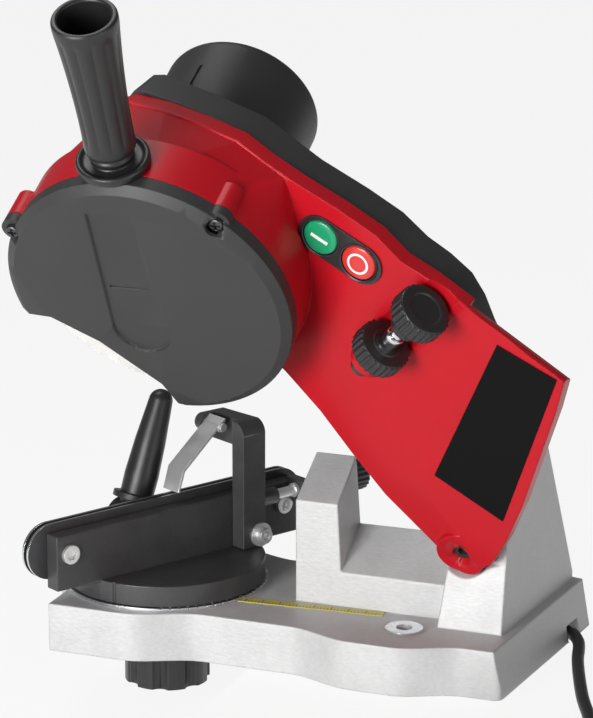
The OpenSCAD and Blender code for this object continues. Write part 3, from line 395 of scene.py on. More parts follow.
def lathe(profile, home, around=64, wave=None):
    """A closed turned solid about +z from (radius, height) in mm, moved to its home."""
    bm = bmesh.new()
    rings = []
    for r, z in profile:
        if r < 1e-6:
            rings.append([bm.verts.new((0, 0, z * MM))])
            continue
        ring = []
        for i in range(around):
            angle = tau * i / around
            rr = r + (wave(angle, r, z) if wave else 0)
            ring.append(bm.verts.new((rr * MM * cos(angle), rr * MM * sin(angle), z * MM)))
        rings.append(ring)
    for low, high in zip(rings, rings[1:]):
        for i in range(around):
            j = (i + 1) % around
            corners = [low[i % len(low)], low[j % len(low)],
                       high[j % len(high)], high[i % len(high)]]
            corners = list(dict.fromkeys(corners))
            if len(corners) > 2:
                bm.faces.new(corners)
    bmesh.ops.recalc_face_normals(bm, faces=bm.faces)
    return finished(bm, home)


print("lathe ready")

# %% [markdown]
# ### Pieces of two finishes
# A button has a coloured cap and a white mark, and they move as one, so they are one
# piece. Joining by selection would need the screen's context; a joined mesh is built from
# the data instead, and each face keeps its own finish.

# %% Joined meshes
def joined(*meshes):
    """One mesh from several, each keeping its own finish."""
    bm = bmesh.new()
    finishes = []
    for mesh in meshes:
        own = list(mesh.materials) or [None]
        before = len(bm.faces)
        bm.from_mesh(mesh)
        bm.faces.ensure_lookup_table()
        for face in bm.faces[before:]:
            mat = own[min(face.material_index, len(own) - 1)]
            if mat not in finishes:
                finishes.append(mat)
            face.material_index = finishes.index(mat)
    out = finished(bm)
    for mat in finishes:
        out.materials.append(mat)
    return out


print("joining helper ready")

# %% [markdown]
# ## The mains lead
# A rubber lead of 7 mm leaves the back of the base, turns under the end wall, lies along
# the bench and ends in a coil of six turns, out of the picture, with its plug. It could
# be simulated, but a route of points gives the same lie each time. The points are the
# CAD's own, so the lead stays in the space that the part holds for it.

# %% Route of the lead
ROUTE = [(36, 56, 14), (42, 56, 14), (50, 55, 11.5), (57, 53, 7.5), (63, 51, 4.6),
         (70, 46, 3.8), (75, 39, 3.5), (79, 28, 3.5), (84, 8, 3.5), (93, -20, 3.5),
         (103, -48, 3.5), (114, -74, 3.5), (124, -104, 3.5), (130, -136, 3.5),
         (134, -168, 3.5), (136, -196, 3.5), (136, -207, 3.5), (136, -214, 3.5)]
CORD = 7.0  # the lead's thickness in mm
PITCH = CORD + 0.8  # from one loop of the coil to the next, sideways and upwards
COIL_AT, COIL_R, LOOPS, STEPS = (88, -221), 48.0, 3, 24
STRAIGHT = 14  # mm of straight lead before the plug


def spline(points, per_span):
    """A smooth curve through the points, as the CAD draws it."""
    last = len(points) - 1
    p = [Vector(point) for point in points]
    out = []
    for i in range(last):
        a, b, c, d = p[max(i - 1, 0)], p[i], p[i + 1], p[min(i + 2, last)]
        for k in range(per_span):
            t = k / per_span
            out.append(0.5 * (2 * b + (c - a) * t + (2 * a - 5 * b + 4 * c - d) * t * t
                              + (3 * b - a - 3 * c + d) * t ** 3))
    return out + [p[last]]


def coil():
    """In along the lower layer, up half a turn, and out along the upper one."""
    half, climb = LOOPS * STEPS, STEPS // 2
    low, out = CORD / 2, []
    for i in range(2 * half + climb + 1):
        inward, outward = min(i, half), max(0, i - half - climb)
        r = COIL_R - PITCH * (inward - outward) / STEPS
        t = max(0.0, min(1.0, (i - half) / climb))
        z = low + PITCH * t * t * (3 - 2 * t)
        angle = -tau * i / STEPS
        out.append(Vector((COIL_AT[0] + r * cos(angle), COIL_AT[1] + r * sin(angle), z)))
    return out


turns = coil()
run = (turns[-1] - turns[-2]).normalized()
plug_start = turns[-1] + run * STRAIGHT
way = spline(ROUTE, 3) + turns + [turns[-1] + run * STRAIGHT / 2, plug_start]
way = [q for q, nxt in zip(way, way[1:]) if (q - nxt).length > 0.5] + [way[-1]]

# %% [markdown]
# A curve with a round bevel keeps the lead 7 mm thick along its whole way, which a mesh
# that is swept by hand would not do so simply. The flexible relief at the exit has ribs.

# %% The lead and its relief
curve = bpy.data.curves.new("mains_lead", "CURVE")
curve.dimensions = "3D"
line = curve.splines.new("POLY")
line.points.add(len(way) - 1)
for point, q in zip(line.points, way):
    point.co = (*(q * MM), 1)
curve.bevel_depth = CORD / 2 * MM
curve.bevel_resolution = 5
curve.use_fill_caps = True
curve.materials.append(FINISH["cord_jacket"])
lead = bpy.data.objects.new("mains_lead", curve)
bpy.context.scene.collection.objects.link(lead)
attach(lead, "base")
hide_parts("mains_cord", "cord_coil")

RIBS, RIB_STEP = 5, 3.6
relief = [(0, 0), (7.4, 0), (7.4, 1.8), (5.6, 2.0)]
for rib in range(RIBS):
    at, r = 4.0 + rib * RIB_STEP, 5.7 - 0.22 * rib
    relief += [(r, at), (r, at + 2.0), (r - 0.9, at + 2.4), (r - 0.9, at + 3.4)]
relief += [(4.3, 22.5), (0, 22.5)]
gland = lathe(eased(relief, 0.4, 2), shift(24, 56, 14) @ turned(90, "Y"), 32)
piece("strain_relief", gland, "cord_jacket", "base", "cord_gland")
print("lead and relief made,", len(relief), "points in the relief's profile")

# %% [markdown]
# The plug is a round moulding with stepped ribs where the lead enters, and two round
# pins. It lies in line with the last of the lead, so it is turned by the lead's own
# direction.

# %% Plug
yaw = atan2(run.y, run.x)
PLUG = Matrix.Translation(plug_start * MM) @ Matrix.Rotation(yaw, 4, "Z") @ turned(90, "Y")
shape = [(0, 0), (4.6, 0), (5.5, 1.5), (5.2, 3.4), (5.9, 4.2), (5.5, 6.4), (6.2, 7.2),
         (5.9, 9.4), (6.6, 11), (9.4, 22), (9.2, 30), (9.5, 43), (11, 45), (11, 50),
         (0, 50)]
plug = piece("plug_moulding", lathe(eased(shape, 0.9), PLUG, 48), "plug_body", "base",
             "mains_plug")
pins = []
for side in (-1, 1):
    pin = [(0, 0), (2.35, 0), (2.35, 21), (1.7, 22.8), (0, 23.3)]
    pins.append(lathe(eased(pin, 0.5), PLUG @ shift(0, side * 9.5, 47), 24))
pin_pair = piece("plug_contacts", joined(*[coloured(m, FINISH["pin_metal"]) for m in pins]),
                 "pin_metal", "base", "plug_pins")
print("plug and", len(pins), "pins made")

# %% [markdown]
# ## Softened copies of the CAD shapes
# The CAD nodes are exact but their arrises are knife sharp, and a machine's are not.
# They could be remodelled by hand; instead each visible node is copied and its arrises
# are rounded. A bevelled mesh then needs care with its shading: beside a broad flat face
# lie narrow ones, and normals weighted by area keep them from showing. Folds between
# broad faces that are too shallow to count as sharp are marked one by one.

# %% Shading of broad faces and folds
NORMAL_WEIGHT = 80
FOLD, FACING, BROAD = radians(5), radians(24), 60 * MM * MM


def weighted(mesh):
    """Normals that follow the broad faces, so thin ones beside them don't show."""
    carrier = bpy.data.objects.new("carrier", mesh)
    bpy.context.scene.collection.objects.link(carrier)
    modifier = carrier.modifiers.new("normals", "WEIGHTED_NORMAL")
    modifier.keep_sharp = True
    modifier.weight = NORMAL_WEIGHT
    graph = bpy.context.evaluated_depsgraph_get()
    out = bpy.data.meshes.new_from_object(carrier.evaluated_get(graph))
    bpy.data.objects.remove(carrier)
    return out


def creased(mesh, outward):
    """Marks the shallow folds between the broad faces that look outward."""
    bm = bmesh.new()
    bm.from_mesh(mesh)
    for edge in bm.edges:
        sides = edge.link_faces
        if (len(sides) == 2 and edge.calc_face_angle(0) > FOLD
                and all(f.normal.angle(outward, 3) < FACING for f in sides)
                and all(f.calc_area() > BROAD for f in sides)):
            edge.smooth = False
    bm.to_mesh(mesh)
    bm.free()


print("shading helpers ready")

# %% [markdown]
# The copy's loose triangles are merged, and flat regions are dissolved to single faces.
# Its sharp edges then get a narrow bevel of real geometry, with two segments for a round
# arris. The bevel is skipped on edges too short for it, and beside faces too small.

# %% Softening
MERGE, FLAT, SHARP = 3e-6, radians(0.4), radians(30)
SHORTEST, SMALLEST = 1.2, 1.5  # the least edge, and side of a face, in bevel widths


def softened(node, radius, keep_angle=34, segments=2, crease=None):
    bm = bmesh.new()
    bm.from_mesh(nodes[node].data)
    bmesh.ops.remove_doubles(bm, verts=bm.verts, dist=MERGE)
    bmesh.ops.dissolve_limit(bm, angle_limit=FLAT, verts=bm.verts, edges=bm.edges,
                             delimit={"NORMAL"})
    loose = [v for v in bm.verts if not v.link_faces]
    bmesh.ops.delete(bm, geom=loose, context="VERTS")
    limit = radians(keep_angle)
    sharp = [e for e in bm.edges if len(e.link_faces) == 2
             and e.calc_face_angle(0) > limit and e.calc_length() > SHORTEST * radius * MM
             and all(f.calc_area() > (SMALLEST * radius * MM) ** 2 for f in e.link_faces)]
    if radius and sharp:
        bmesh.ops.bevel(bm, geom=sharp, offset=radius * MM, offset_type="WIDTH",
                        segments=segments, profile=0.5, affect="EDGES",
                        clamp_overlap=False, miter_outer="ARC")
    bmesh.ops.triangulate(bm, faces=[f for f in bm.faces if len(f.verts) > 4])
    mesh = finished(bm, name=node)
    mesh.shade_smooth()
    mesh.set_sharp_from_angle(angle=SHARP)
    if crease:
        creased(mesh, crease)
    return piece(node + "_soft", weighted(mesh), slot_of_node[node], body_of_node[node],
                 node, smooth=None)


print("softening helper ready")

# %% [markdown]
# Each visible node has its own radius in mm: a cast edge is rounder than a pressed one,
# and a flat film has hardly any. A radius of 0 leaves the edges as they are, which suits
# the depth screw, a plain rod, and the guard, because the CAD already slopes its rim.

# %% The softened pieces
SOFTENED = {
    "base_casting": 1.2, "front_housing": 0.8, "rear_housing": 0.8, "motor_cover": 0.6,
    "guard_cover": 0, "turntable": 0.8, "rear_jaw": 0.8, "stop_bracket": 0.7,
    "clamp_lever": 0.5, "clamp_knob": 1.0, "front_rail": 0.3, "rear_rail": 0.3,
    "stop_pawl": 0.3, "scale_ring": 0.2, "scale_strip": 0.1, "info_panel": 0.2,
    "switch_plate": 0.2, "grinding_wheel": 0.3, "pivot_bolt": 0.3, "pivot_nut": 0.3,
    "jaw_screws": 0.3, "stop_lock_screw": 0.3, "stop_rod": 0.2, "pawl_pin": 0.2,
    "lever_stud": 0.2, "cord_clamp": 0.3, "turntable_stud": 0.2, "depth_screw": 0,
    "depth_foot": 0.2, "spindle_nut": 0.3, "outer_flange": 0.3, "inner_flange": 0.3,
    "spindle_shaft": 0.2, "handle_stud": 0.2, "depth_bush": 0.1,
}
OUT_OF_FACE = {"front_housing": FACE.to_3x3() @ Vector((0, -1, 0))}
soft = {name: softened(name, radius, crease=OUT_OF_FACE.get(name))
        for name, radius in SOFTENED.items()}
print("softened:", {name: len(made.data.polygons) for name, made in soft.items()})

# %% [markdown]
# A few finishes differ from their node's slot. The rails are dark on their broad sides and
# ground bright on their edges, so the faces that look across the rail get a second
# material. The pivot bolt and the depth screw's foot are made black as painted shade: it
# stands for the shadow in the pivot's hole and under the lock nut.

# %% Second finishes
ACROSS = 0.7  # how nearly a face has to look along the axis, as a cosine


def two_toned(made, across, mat):
    """Gives the faces that look along that axis a second finish."""
    made.data.materials.append(mat)
    for face in made.data.polygons:
        if abs(face.normal.dot(across)) > ACROSS:
            face.material_index = 1


for rail in ("front_rail", "rear_rail"):
    two_toned(soft[rail], VISE.to_3x3() @ Vector((0, 1, 0)), rail_scale)
# painted shade: the pivot bolt and the depth foot are black to stand for the shadow in the
# pivot's hole and under the lock nut
for name in ("pivot_bolt", "depth_foot"):
    coloured(soft[name].data, print_and_shade_black)
print("dark faces on the rails, the pivot bolt and the depth foot")

# %% [markdown]
# ## What repeats
# Knurls, ribs, screw heads and ruler lines repeat one small shape. Geometry Nodes do
# that: one tree sets copies in a ring, one in a row, and one on chosen places. Each
# ends in Realize Instances and Set Material, and the result is taken as a plain mesh.

# %% What every tree begins and ends with
def new_tree(name, inputs):
    tree = bpy.data.node_groups.new(name, "GeometryNodeTree")
    for label, kind in inputs:
        tree.interface.new_socket(label, in_out="INPUT", socket_type=kind)
    tree.interface.new_socket("Geometry", in_out="OUTPUT", socket_type="NodeSocketGeometry")
    return tree, tree.nodes.new("NodeGroupInput"), tree.nodes.new("NodeGroupOutput")


def close_tree(tree, given, result, points, turn=None):
    info = tree.nodes.new("GeometryNodeObjectInfo")
    copies = tree.nodes.new("GeometryNodeInstanceOnPoints")
    real = tree.nodes.new("GeometryNodeRealizeInstances")
    paint = tree.nodes.new("GeometryNodeSetMaterial")
    link = tree.links.new
    link(given.outputs["Piece"], info.inputs["Object"])
    link(points, copies.inputs["Points"])
    link(info.outputs["Geometry"], copies.inputs["Instance"])
    if turn is not None:
        link(turn, copies.inputs["Rotation"])
    link(copies.outputs["Instances"], real.inputs["Geometry"])
    link(real.outputs["Geometry"], paint.inputs["Geometry"])
    link(given.outputs["Finish"], paint.inputs["Material"])
    link(paint.outputs["Geometry"], result.inputs["Geometry"])


print("tree helpers ready")

# %% [markdown]
# In the ring, each copy is turned to face outwards by the angle of its point, which is
# worked out from the point's own place. In a row nothing turns, and on chosen places the
# points come from the modified object itself.

# %% Trees for rings, rows and places
def ring_tree():
    tree, given, result = new_tree("copies_in_a_ring", [
        ("Count", "NodeSocketInt"), ("Radius", "NodeSocketFloat"),
        ("Piece", "NodeSocketObject"), ("Finish", "NodeSocketMaterial")])
    circle = tree.nodes.new("GeometryNodeMeshCircle")
    tree.links.new(given.outputs["Count"], circle.inputs["Vertices"])
    tree.links.new(given.outputs["Radius"], circle.inputs["Radius"])
    place = tree.nodes.new("GeometryNodeInputPosition")
    parts = tree.nodes.new("ShaderNodeSeparateXYZ")
    angle = tree.nodes.new("ShaderNodeMath")
    angle.operation = "ARCTAN2"
    turn = tree.nodes.new("ShaderNodeCombineXYZ")
    tree.links.new(place.outputs[0], parts.inputs[0])
    tree.links.new(parts.outputs["Y"], angle.inputs[0])
    tree.links.new(parts.outputs["X"], angle.inputs[1])
    tree.links.new(angle.outputs[0], turn.inputs["Z"])
    close_tree(tree, given, result, circle.outputs["Mesh"], turn.outputs[0])
    return tree


def row_tree():
    tree, given, result = new_tree("copies_in_a_row", [
        ("Count", "NodeSocketInt"), ("Step", "NodeSocketVector"),
        ("Piece", "NodeSocketObject"), ("Finish", "NodeSocketMaterial")])
    row = tree.nodes.new("GeometryNodeMeshLine")
    tree.links.new(given.outputs["Count"], row.inputs["Count"])
    tree.links.new(given.outputs["Step"], row.inputs["Offset"])
    close_tree(tree, given, result, row.outputs["Mesh"])
    return tree


def places_tree():
    tree, given, result = new_tree("copies_on_places", [
        ("Places", "NodeSocketGeometry"), ("Piece", "NodeSocketObject"),
        ("Finish", "NodeSocketMaterial")])
    close_tree(tree, given, result, given.outputs["Places"])
    return tree


RING, ROW, PLACES = ring_tree(), row_tree(), places_tree()
print("trees:", [t.name for t in (RING, ROW, PLACES)])

# %% [markdown]
# A tree runs as a modifier on a bare object. Its inputs are set by the socket's own
# identifier before the first evaluation, because a name isn't unique. The result is then
# a plain mesh, and the modifier and both helper objects are gone.

# %% Running a tree
def grown(tree, template, material, points=(), **values):
    """Runs a tree on a bare object and returns its mesh, with nothing live left."""
    shape = bpy.data.objects.new("shape", template)
    base = bpy.data.meshes.new("places")
    base.from_pydata([tuple(p) for p in points], [], [])
    carrier = bpy.data.objects.new("carrier", base)
    for made in (shape, carrier):
        bpy.context.scene.collection.objects.link(made)
    modifier = carrier.modifiers.new("tree", "NODES")
    modifier.node_group = tree
    values = {"Piece": shape, "Finish": material, **values}
    for item in tree.interface.items_tree:
        if item.in_out == "INPUT" and item.name in values:
            modifier[item.identifier] = values[item.name]
    graph = bpy.context.evaluated_depsgraph_get()
    mesh = bpy.data.meshes.new_from_object(carrier.evaluated_get(graph))
    carrier.modifiers.clear()
    for made in (shape, carrier):
        bpy.data.objects.remove(made)
    return mesh


print("runner ready")

# %% [markdown]
# ## Knurled knobs
# The depth screw has two knobs, a black lock nut below and a taller turning knob above,
# and the chain stop's rod has a third. Each is a turned body with rounded ribs around
# it; the ribs are one small bar, set in a ring by the tree. The same ribs could be cut
# with a wave in the profile, but a bar keeps its blunt ends.

# %% Ribs round a turned core
def rib_bar(height, width, proud):
    """A rounded bar along z that a ring of ribs repeats, in mm."""
    bm = bmesh.new()
    section = [(-1.2, -width / 2), (0, -width / 2), (proud * 0.75, -width * 0.28),
               (proud, 0), (proud * 0.75, width * 0.28), (0, width / 2), (-1.2, width / 2)]
    levels = [(0.0, 0.72), (0.5, 1.0), (height - 0.5, 1.0), (height, 0.72)]
    rings = [[bm.verts.new(((x if x < 0 else x * k) * MM, y * k * MM, z * MM))
              for x, y in section] for z, k in levels]
    for low, high in zip(rings, rings[1:]):
        for i in range(len(section)):
            j = (i + 1) % len(section)
            bm.faces.new((low[i], low[j], high[j], high[i]))
    bm.faces.new(list(reversed(rings[0])))
    bm.faces.new(rings[-1])
    bmesh.ops.recalc_face_normals(bm, faces=bm.faces)
    return finished(bm)


RIB_SHARE, RIB_PROUD = 0.72, 0.85  # a rib's share of its step, and how far it stands out


def knob(name, body, node, profile, ribs, radius, span, home, slot="black_plastic"):
    core = coloured(lathe(eased(profile, 1.2), home, 72), FINISH[slot])
    bar_height = span[1] - span[0]
    rib_width = tau * radius / ribs * RIB_SHARE
    around = grown(RING, rib_bar(bar_height, rib_width, RIB_PROUD), FINISH[slot],
                   Count=ribs, Radius=radius * MM)
    around.transform(home @ shift(0, 0, span[0]))
    return piece(name, joined(core, around), slot, body, node)


print("knob maker ready")

# %% [markdown]
# The three knobs differ in their profiles and in their number of ribs. Between the two
# knobs of the depth screw the lock nut has a bright turned sleeve, which is a piece of its
# own, because it is plated and the knob is plastic.

# %% Knobs and sleeve
upper = DEPTH @ shift(0, 0, 28)
knob("depth_turning_knob", "depth_screw", "depth_knob",
     [(0, 0), (7.9, 0), (7.9, 9.5), (14.2, 10), (14.4, 21.6), (9.5, 22), (8.5, 21.2),
      (0, 21.2)], 26, 14.2, (10.9, 21.0), upper)
knob("depth_locking_nut", "lock_nut", "depth_lock_nut",
     [(3.9, 0.0), (14.2, 0.0), (14.3, 11.4), (8.2, 11.7), (7.8, 12.3), (4.4, 12.3),
      (3.9, 11.9), (3.9, 0.0)], 26, 14.2, (0.8, 10.8), DEPTH)
ROD = VISE @ shift(118, -18.5, 41) @ turned(90, "Y")
knob("stop_rod_knob", "stop_rod", "stop_knob",
     [(0, -5), (5.9, -5), (6.0, -0.4), (8.4, 0), (8.5, 13.6), (5.4, 14), (4.8, 13.3),
      (0, 13.3)], 18, 8.4, (0.8, 13.0), ROD)
sleeve = lathe(eased([(3.95, 12.2), (5.2, 12.2), (5.2, 21.0), (4.9, 21.5), (3.95, 21.5),
                      (3.95, 12.2)], 0.3, 2), DEPTH, 48)
piece("lock_nut_sleeve", sleeve, "screw_chrome", "lock_nut")
print("three knobs and a sleeve made")

# %% [markdown]
# ## The handle
# The hand grip is a hollow moulding with a wide collar, a waist and long ribs, open at
# its top. Ribs could be added one by one; here the lathe's radius rises and falls with
# the angle, and the wave fades out at both ends, as on the real grip.

# %% Handle
FLUTES, FLUTE_DEPTH = 12, 0.75
BORE_R, BORE_FLOOR = 13.4, 40
FLUTE_START, FLUTE_END = 15, 91  # heights along the grip where the flutes fade in and out


def flutes(angle, r, z):
    if r < BORE_R and z > BORE_FLOOR:  # the bore stays round
        return 0.0
    rising = max(0.0, min(1.0, (z - FLUTE_START) / 8))
    falling = max(0.0, min(1.0, (FLUTE_END - z) / 5))
    fade = rising * falling
    ridge = 0.5 - 0.5 * cos(FLUTES * angle)
    return -FLUTE_DEPTH * fade * (1 - ridge ** 0.45)


outer = [(0, 0.1), (19.3, 0.1), (19.5, 4.0), (18.5, 5.2), (17.0, 5.0), (15.5, 3.7),
         (11.2, 3.9), (10.7, 5.0), (11.8, 6.0), (11.8, 8.0), (10.9, 9.0), (10.9, 10.6),
         (13.2, 11.0), (13.5, 14.0)]
outer += [(13.5 + 0.0016 * max(0, z - 24) ** 1.84, z) for z in range(17, 90, 3)]
outer += [(17.0, 91.5), (16.9, 94.2), (16.2, 95.5), (14.2, 95.5), (13.3, 94.4),
          (13.2, 80), (13.2, 53), (0, 52.6)]
grip = lathe(eased(outer, 1.0, 2), HANDLE, 168, flutes)
piece("hand_grip", grip, "black_plastic", "head", "handle_grip")
print("hand grip:", len(grip.polygons), "faces")

# %% [markdown]
# ## The two buttons
# A green cap with a white bar and a red cap with a white ring stand a little proud of a
# black frame. The caps are shallow domes. The marks are the common ones for on and off.
# They could be painted by the material, but thin shapes on top have a sharper edge.

# %% Caps and marks
def dome(radius, proud, home, mat):
    shape = [(0, -2.8), (radius, -2.8), (radius, proud - 1.3), (radius - 0.7, proud - 0.5),
             (radius * 0.7, proud), (radius * 0.4, proud + 0.25), (0, proud + 0.3)]
    return coloured(lathe(eased(shape, 0.4, 2), home, 64), mat)


def bar_mark(length, width, height, home, mat):
    bm = bmesh.new()
    bmesh.ops.create_cube(bm, size=1.0)
    bm.transform(Matrix.Diagonal((length * MM, width * MM, 0.5 * MM, 1)))
    bmesh.ops.bevel(bm, geom=list(bm.edges), offset=0.14 * MM, segments=2, profile=0.5,
                    affect="EDGES")
    return coloured(finished(bm, home @ shift(0, 0, height)), mat)


def ring_mark(outer_r, inner_r, height, home, mat):
    shape = [(inner_r, height - 0.3), (outer_r, height - 0.3), (outer_r, height + 0.12),
             (inner_r, height + 0.22), (inner_r, height - 0.3)]
    return coloured(lathe(shape, home, 64), mat)


print("cap and mark makers ready")

# %% [markdown]
# The two buttons stand side by side along the slope of the switch. Each cap and its mark
# are joined, so they press in together, and the black rims stay on the head.

# %% Buttons
START_AT, STOP_AT = (-71.6, 185.1), (-49.7, 174.7)
CAP_R, BAR_TURN = 9.9, -25.4
start_home = FACE @ shift(START_AT[0], 0, START_AT[1]) @ OUTWARD
stop_home = FACE @ shift(STOP_AT[0], 0, STOP_AT[1]) @ OUTWARD
start = joined(dome(CAP_R, 2.5, start_home, FINISH["green_button"]),
               bar_mark(10.5, 2.0, 2.75, start_home @ turned(BAR_TURN, "Z"), white_mark))
piece("start_cap", start, "green_button", "start", "start_button")
stop = joined(dome(CAP_R, 2.3, stop_home, FINISH["red_button"]),
              ring_mark(6.2, 3.7, 2.3, stop_home, white_mark))
piece("stop_cap", stop, "red_button", "stop", "stop_button")
rims = [coloured(lathe([(10.25, -0.2), (11.3, -0.2), (11.5, 1.4), (11.0, 1.9),
                        (10.3, 1.6), (10.25, -0.2)], home, 64), FINISH["switch_frame"])
        for home in (start_home, stop_home)]
piece("button_rims", joined(*rims), "switch_frame", "head")
print("two caps with their marks, and", len(rims), "rims")

# %% [markdown]
# ## Screw heads
# The guard is held by two dark screws with crossed recesses, and six more close the
# rear shell. One head is modelled, with its recess cut as real faces, and the tree puts
# a copy on each place. A cut with Boolean would do too, but the few rings of corners that
# the cross needs are quickly written and give clean faces.

# %% Crossed screw head
def cross_head(radius, height):
    """A pan head about +z with a crossed recess, in mm."""
    bm = bmesh.new()
    w, reach, floor = 0.16 * radius, 0.62 * radius, 0.45 * height
    cross = [(reach, w), (w, w), (w, reach), (-w, reach), (-w, w), (-reach, w),
             (-reach, -w), (-w, -w), (-w, -reach), (w, -reach), (w, -w), (reach, -w)]
    around = [atan2(y, x) for x, y in cross]
    taper = 0.8  # the recess narrows towards its floor
    top = [bm.verts.new((x * MM, y * MM, height * MM)) for x, y in cross]
    low = [bm.verts.new((x * MM * taper, y * MM * taper, floor * MM)) for x, y in cross]
    levels = []
    for r, z in ((0.80, 0.97), (0.93, 0.84), (1.0, 0.6), (1.0, 0.0)):
        levels.append([bm.verts.new((radius * r * cos(a) * MM, radius * r * sin(a) * MM,
                                     height * z * MM)) for a in around])
    chain = [low, top] + levels
    for one, two in zip(chain, chain[1:]):
        for i in range(len(cross)):
            j = (i + 1) % len(cross)
            bm.faces.new((one[i], one[j], two[j], two[i]))
    bm.faces.new(low)
    bm.faces.new(list(reversed(levels[-1])))
    bmesh.ops.recalc_face_normals(bm, faces=bm.faces)
    bmesh.ops.subdivide_edges(bm, edges=[e for e in bm.edges if all(
        v.co.xy.length > 0.79 * radius * MM for v in e.verts)], cuts=1)
    return finished(bm)


print("screw head ready")

# %% [markdown]
# The places are the CAD's own, on the guard's two lugs and on the bosses of the shells.
# A screw is a head and a plain shank, so that nothing is hollow behind the head.

# %% Screws on the guard and the shells
LUGS = ((-101.8, 217.8), (-221.0, 200.6))
SHELL = ((10, 104), (-76, 84), (-112, 124), (-185, 226), (-90, 202), (-4, 158))
SHANK_R = 1.75


def screws(name, slot, body, node, head_r, head_h, places, home, length):
    """Heads on the places and a plain shank behind each, all facing home's +z."""
    points = [Vector((x, y, 0)) * MM for x, y in places]
    heads = grown(PLACES, cross_head(head_r, head_h), FINISH[slot], points)
    bar = [(0, -length), (SHANK_R, -length), (SHANK_R, 0.2), (0, 0.2)]
    shank = lathe(bar, Matrix.Identity(4), 20)
    shanks = grown(PLACES, shank, FINISH[slot], points)
    both = joined(heads, shanks)
    both.transform(home)
    return piece(name, both, slot, body, node)


screws("guard_screw_set", "dark_steel", "head", "guard_screws", 4.2, 2.9, LUGS,
       HEAD @ OUTWARD @ shift(0, 0, -14), 24)
screws("shell_screw_set", "dark_steel", "head", "housing_screws", 4.0, 2.2,
       [(x, -w) for x, w in SHELL], FACE @ turned(-90, "X") @ shift(0, 0, 27.6), 23)
print("screws:", len(LUGS), "on the guard,", len(SHELL), "on the shell")

# %% [markdown]
# ## Rule on the base
# A yellow strip lies on top of the base beside the turntable. Its lines stand every 2 mm,
# longer every 10 mm, and two rows of copies draw them. They could be an image, but thin
# blocks stay sharp at any distance. The strip's own print can't be read in the
# photograph, so it holds these plain lines only.

# %% Ruler lines
RULE = shift(-112, -35.3, 28) @ turned(4, "Z")
SHORT_LINES, LONG_LINES = 40, 8
INK_HEIGHT, INK = 0.53, 0.1  # the middle of a line above the base, and its thickness


def tick(width, length):
    bm = bmesh.new()
    bmesh.ops.create_cube(bm, size=1.0)
    bm.transform(shift(0, length / 2, INK_HEIGHT)
                 @ Matrix.Diagonal((width * MM, length * MM, INK * MM, 1)))
    return finished(bm)


short = grown(ROW, tick(0.35, 2.2), print_and_shade_black, Count=SHORT_LINES, Step=(2 * MM, 0, 0))
long = grown(ROW, tick(0.5, 4.4), print_and_shade_black, Count=LONG_LINES, Step=(10 * MM, 0, 0))
lines = joined(short, long)
lines.transform(RULE @ shift(14, 0.4, 0))
piece("rule_lines", lines, "strip", "base")
print("ruler lines:", SHORT_LINES + LONG_LINES)

# %% [markdown]
# ## Spot faces on the casting
# Each bench bolt's boss is milled flat on top, which leaves a bright ring round the hole.
# It is a thin turned ring on the casting; a second material on the CAD's faces would do
# too, but a ring keeps its crisp edge.

# %% Spot faces
BOSS_TOP, BOLT_REACH = 29.2, 44  # the boss's top, and how far each bolt is from the middle


def boss_ring(y):
    profile = [(4.4, 0.0), (10.5, 0.0), (10.3, 0.25), (4.6, 0.25), (4.4, 0.0)]
    return coloured(lathe(profile, shift(0, y, BOSS_TOP), 64), FINISH["machined_alloy"])


rings = joined(boss_ring(-BOLT_REACH), boss_ring(BOLT_REACH))
piece("spot_faces", rings, "machined_alloy", "base")
print("spot faces:", len(rings.polygons), "faces")

# %% [markdown]
# ## Return spring
# The spring sits in a pocket round the pivot. The CAD gives its wire six flat sides; here
# a round wire follows the same turns, with a fine step, as a curve made a mesh.

# %% Spring
SPRING_R, SPRING_TURNS, SPRING_PITCH, SPRING_END, WIRE_R = 7.6, 3, 2.6, 31.4, 0.8
PER_TURN = 24
coil_line = bpy.data.curves.new("wire", "CURVE")
coil_line.dimensions = "3D"
wire_way = coil_line.splines.new("POLY")
wire_way.points.add(PER_TURN * SPRING_TURNS)
for i, point in enumerate(wire_way.points):
    a = tau * i / PER_TURN
    along = SPRING_END - SPRING_PITCH * (SPRING_TURNS - i / PER_TURN)
    at = Vector((SPRING_R * cos(a), along, SPRING_R * sin(a))) * MM
    point.co = (*at, 1)
coil_line.bevel_depth = WIRE_R * MM
coil_line.bevel_resolution = 3
coil_line.use_fill_caps = True
wire = bpy.data.objects.new("wire", coil_line)
bpy.context.scene.collection.objects.link(wire)
graph = bpy.context.evaluated_depsgraph_get()
wound = bpy.data.meshes.new_from_object(wire.evaluated_get(graph))
bpy.data.objects.remove(wire)
wound.transform(HEAD)
piece("wound_spring", coloured(wound, FINISH["dark_steel"]), "dark_steel",
      body_of_node["return_spring"], "return_spring")
print("spring:", len(wound.polygons), "faces")

# %% [markdown]
# ## What stays as the CAD made it
# The motor's insides and a few plain pins keep their CAD shape and only get a finish.
# They could be softened too, but they are hidden, or too small to show an arris.

# %% Finishes on the nodes that stay
kept = []
for name, part in nodes.items():
    if part.hide_render:
        continue
    kept.append(name)
    for place in part.material_slots:
        place.material = FINISH[slot_of_node[name]]
    if not part.material_slots:
        part.data.materials.append(FINISH[slot_of_node[name]])
print("kept:", kept)

# %% [markdown]
# ## The bench and the light
# The base overhangs the edge of a bench, because its clamp knob hangs below it. The
# bench and the floor are pale, and part of their white comes from the camera ray alone,
# so that the background is white while the lamps stay at a plain level and the shadow
# is kept. More light would also make it white, but it would bleach the machine.

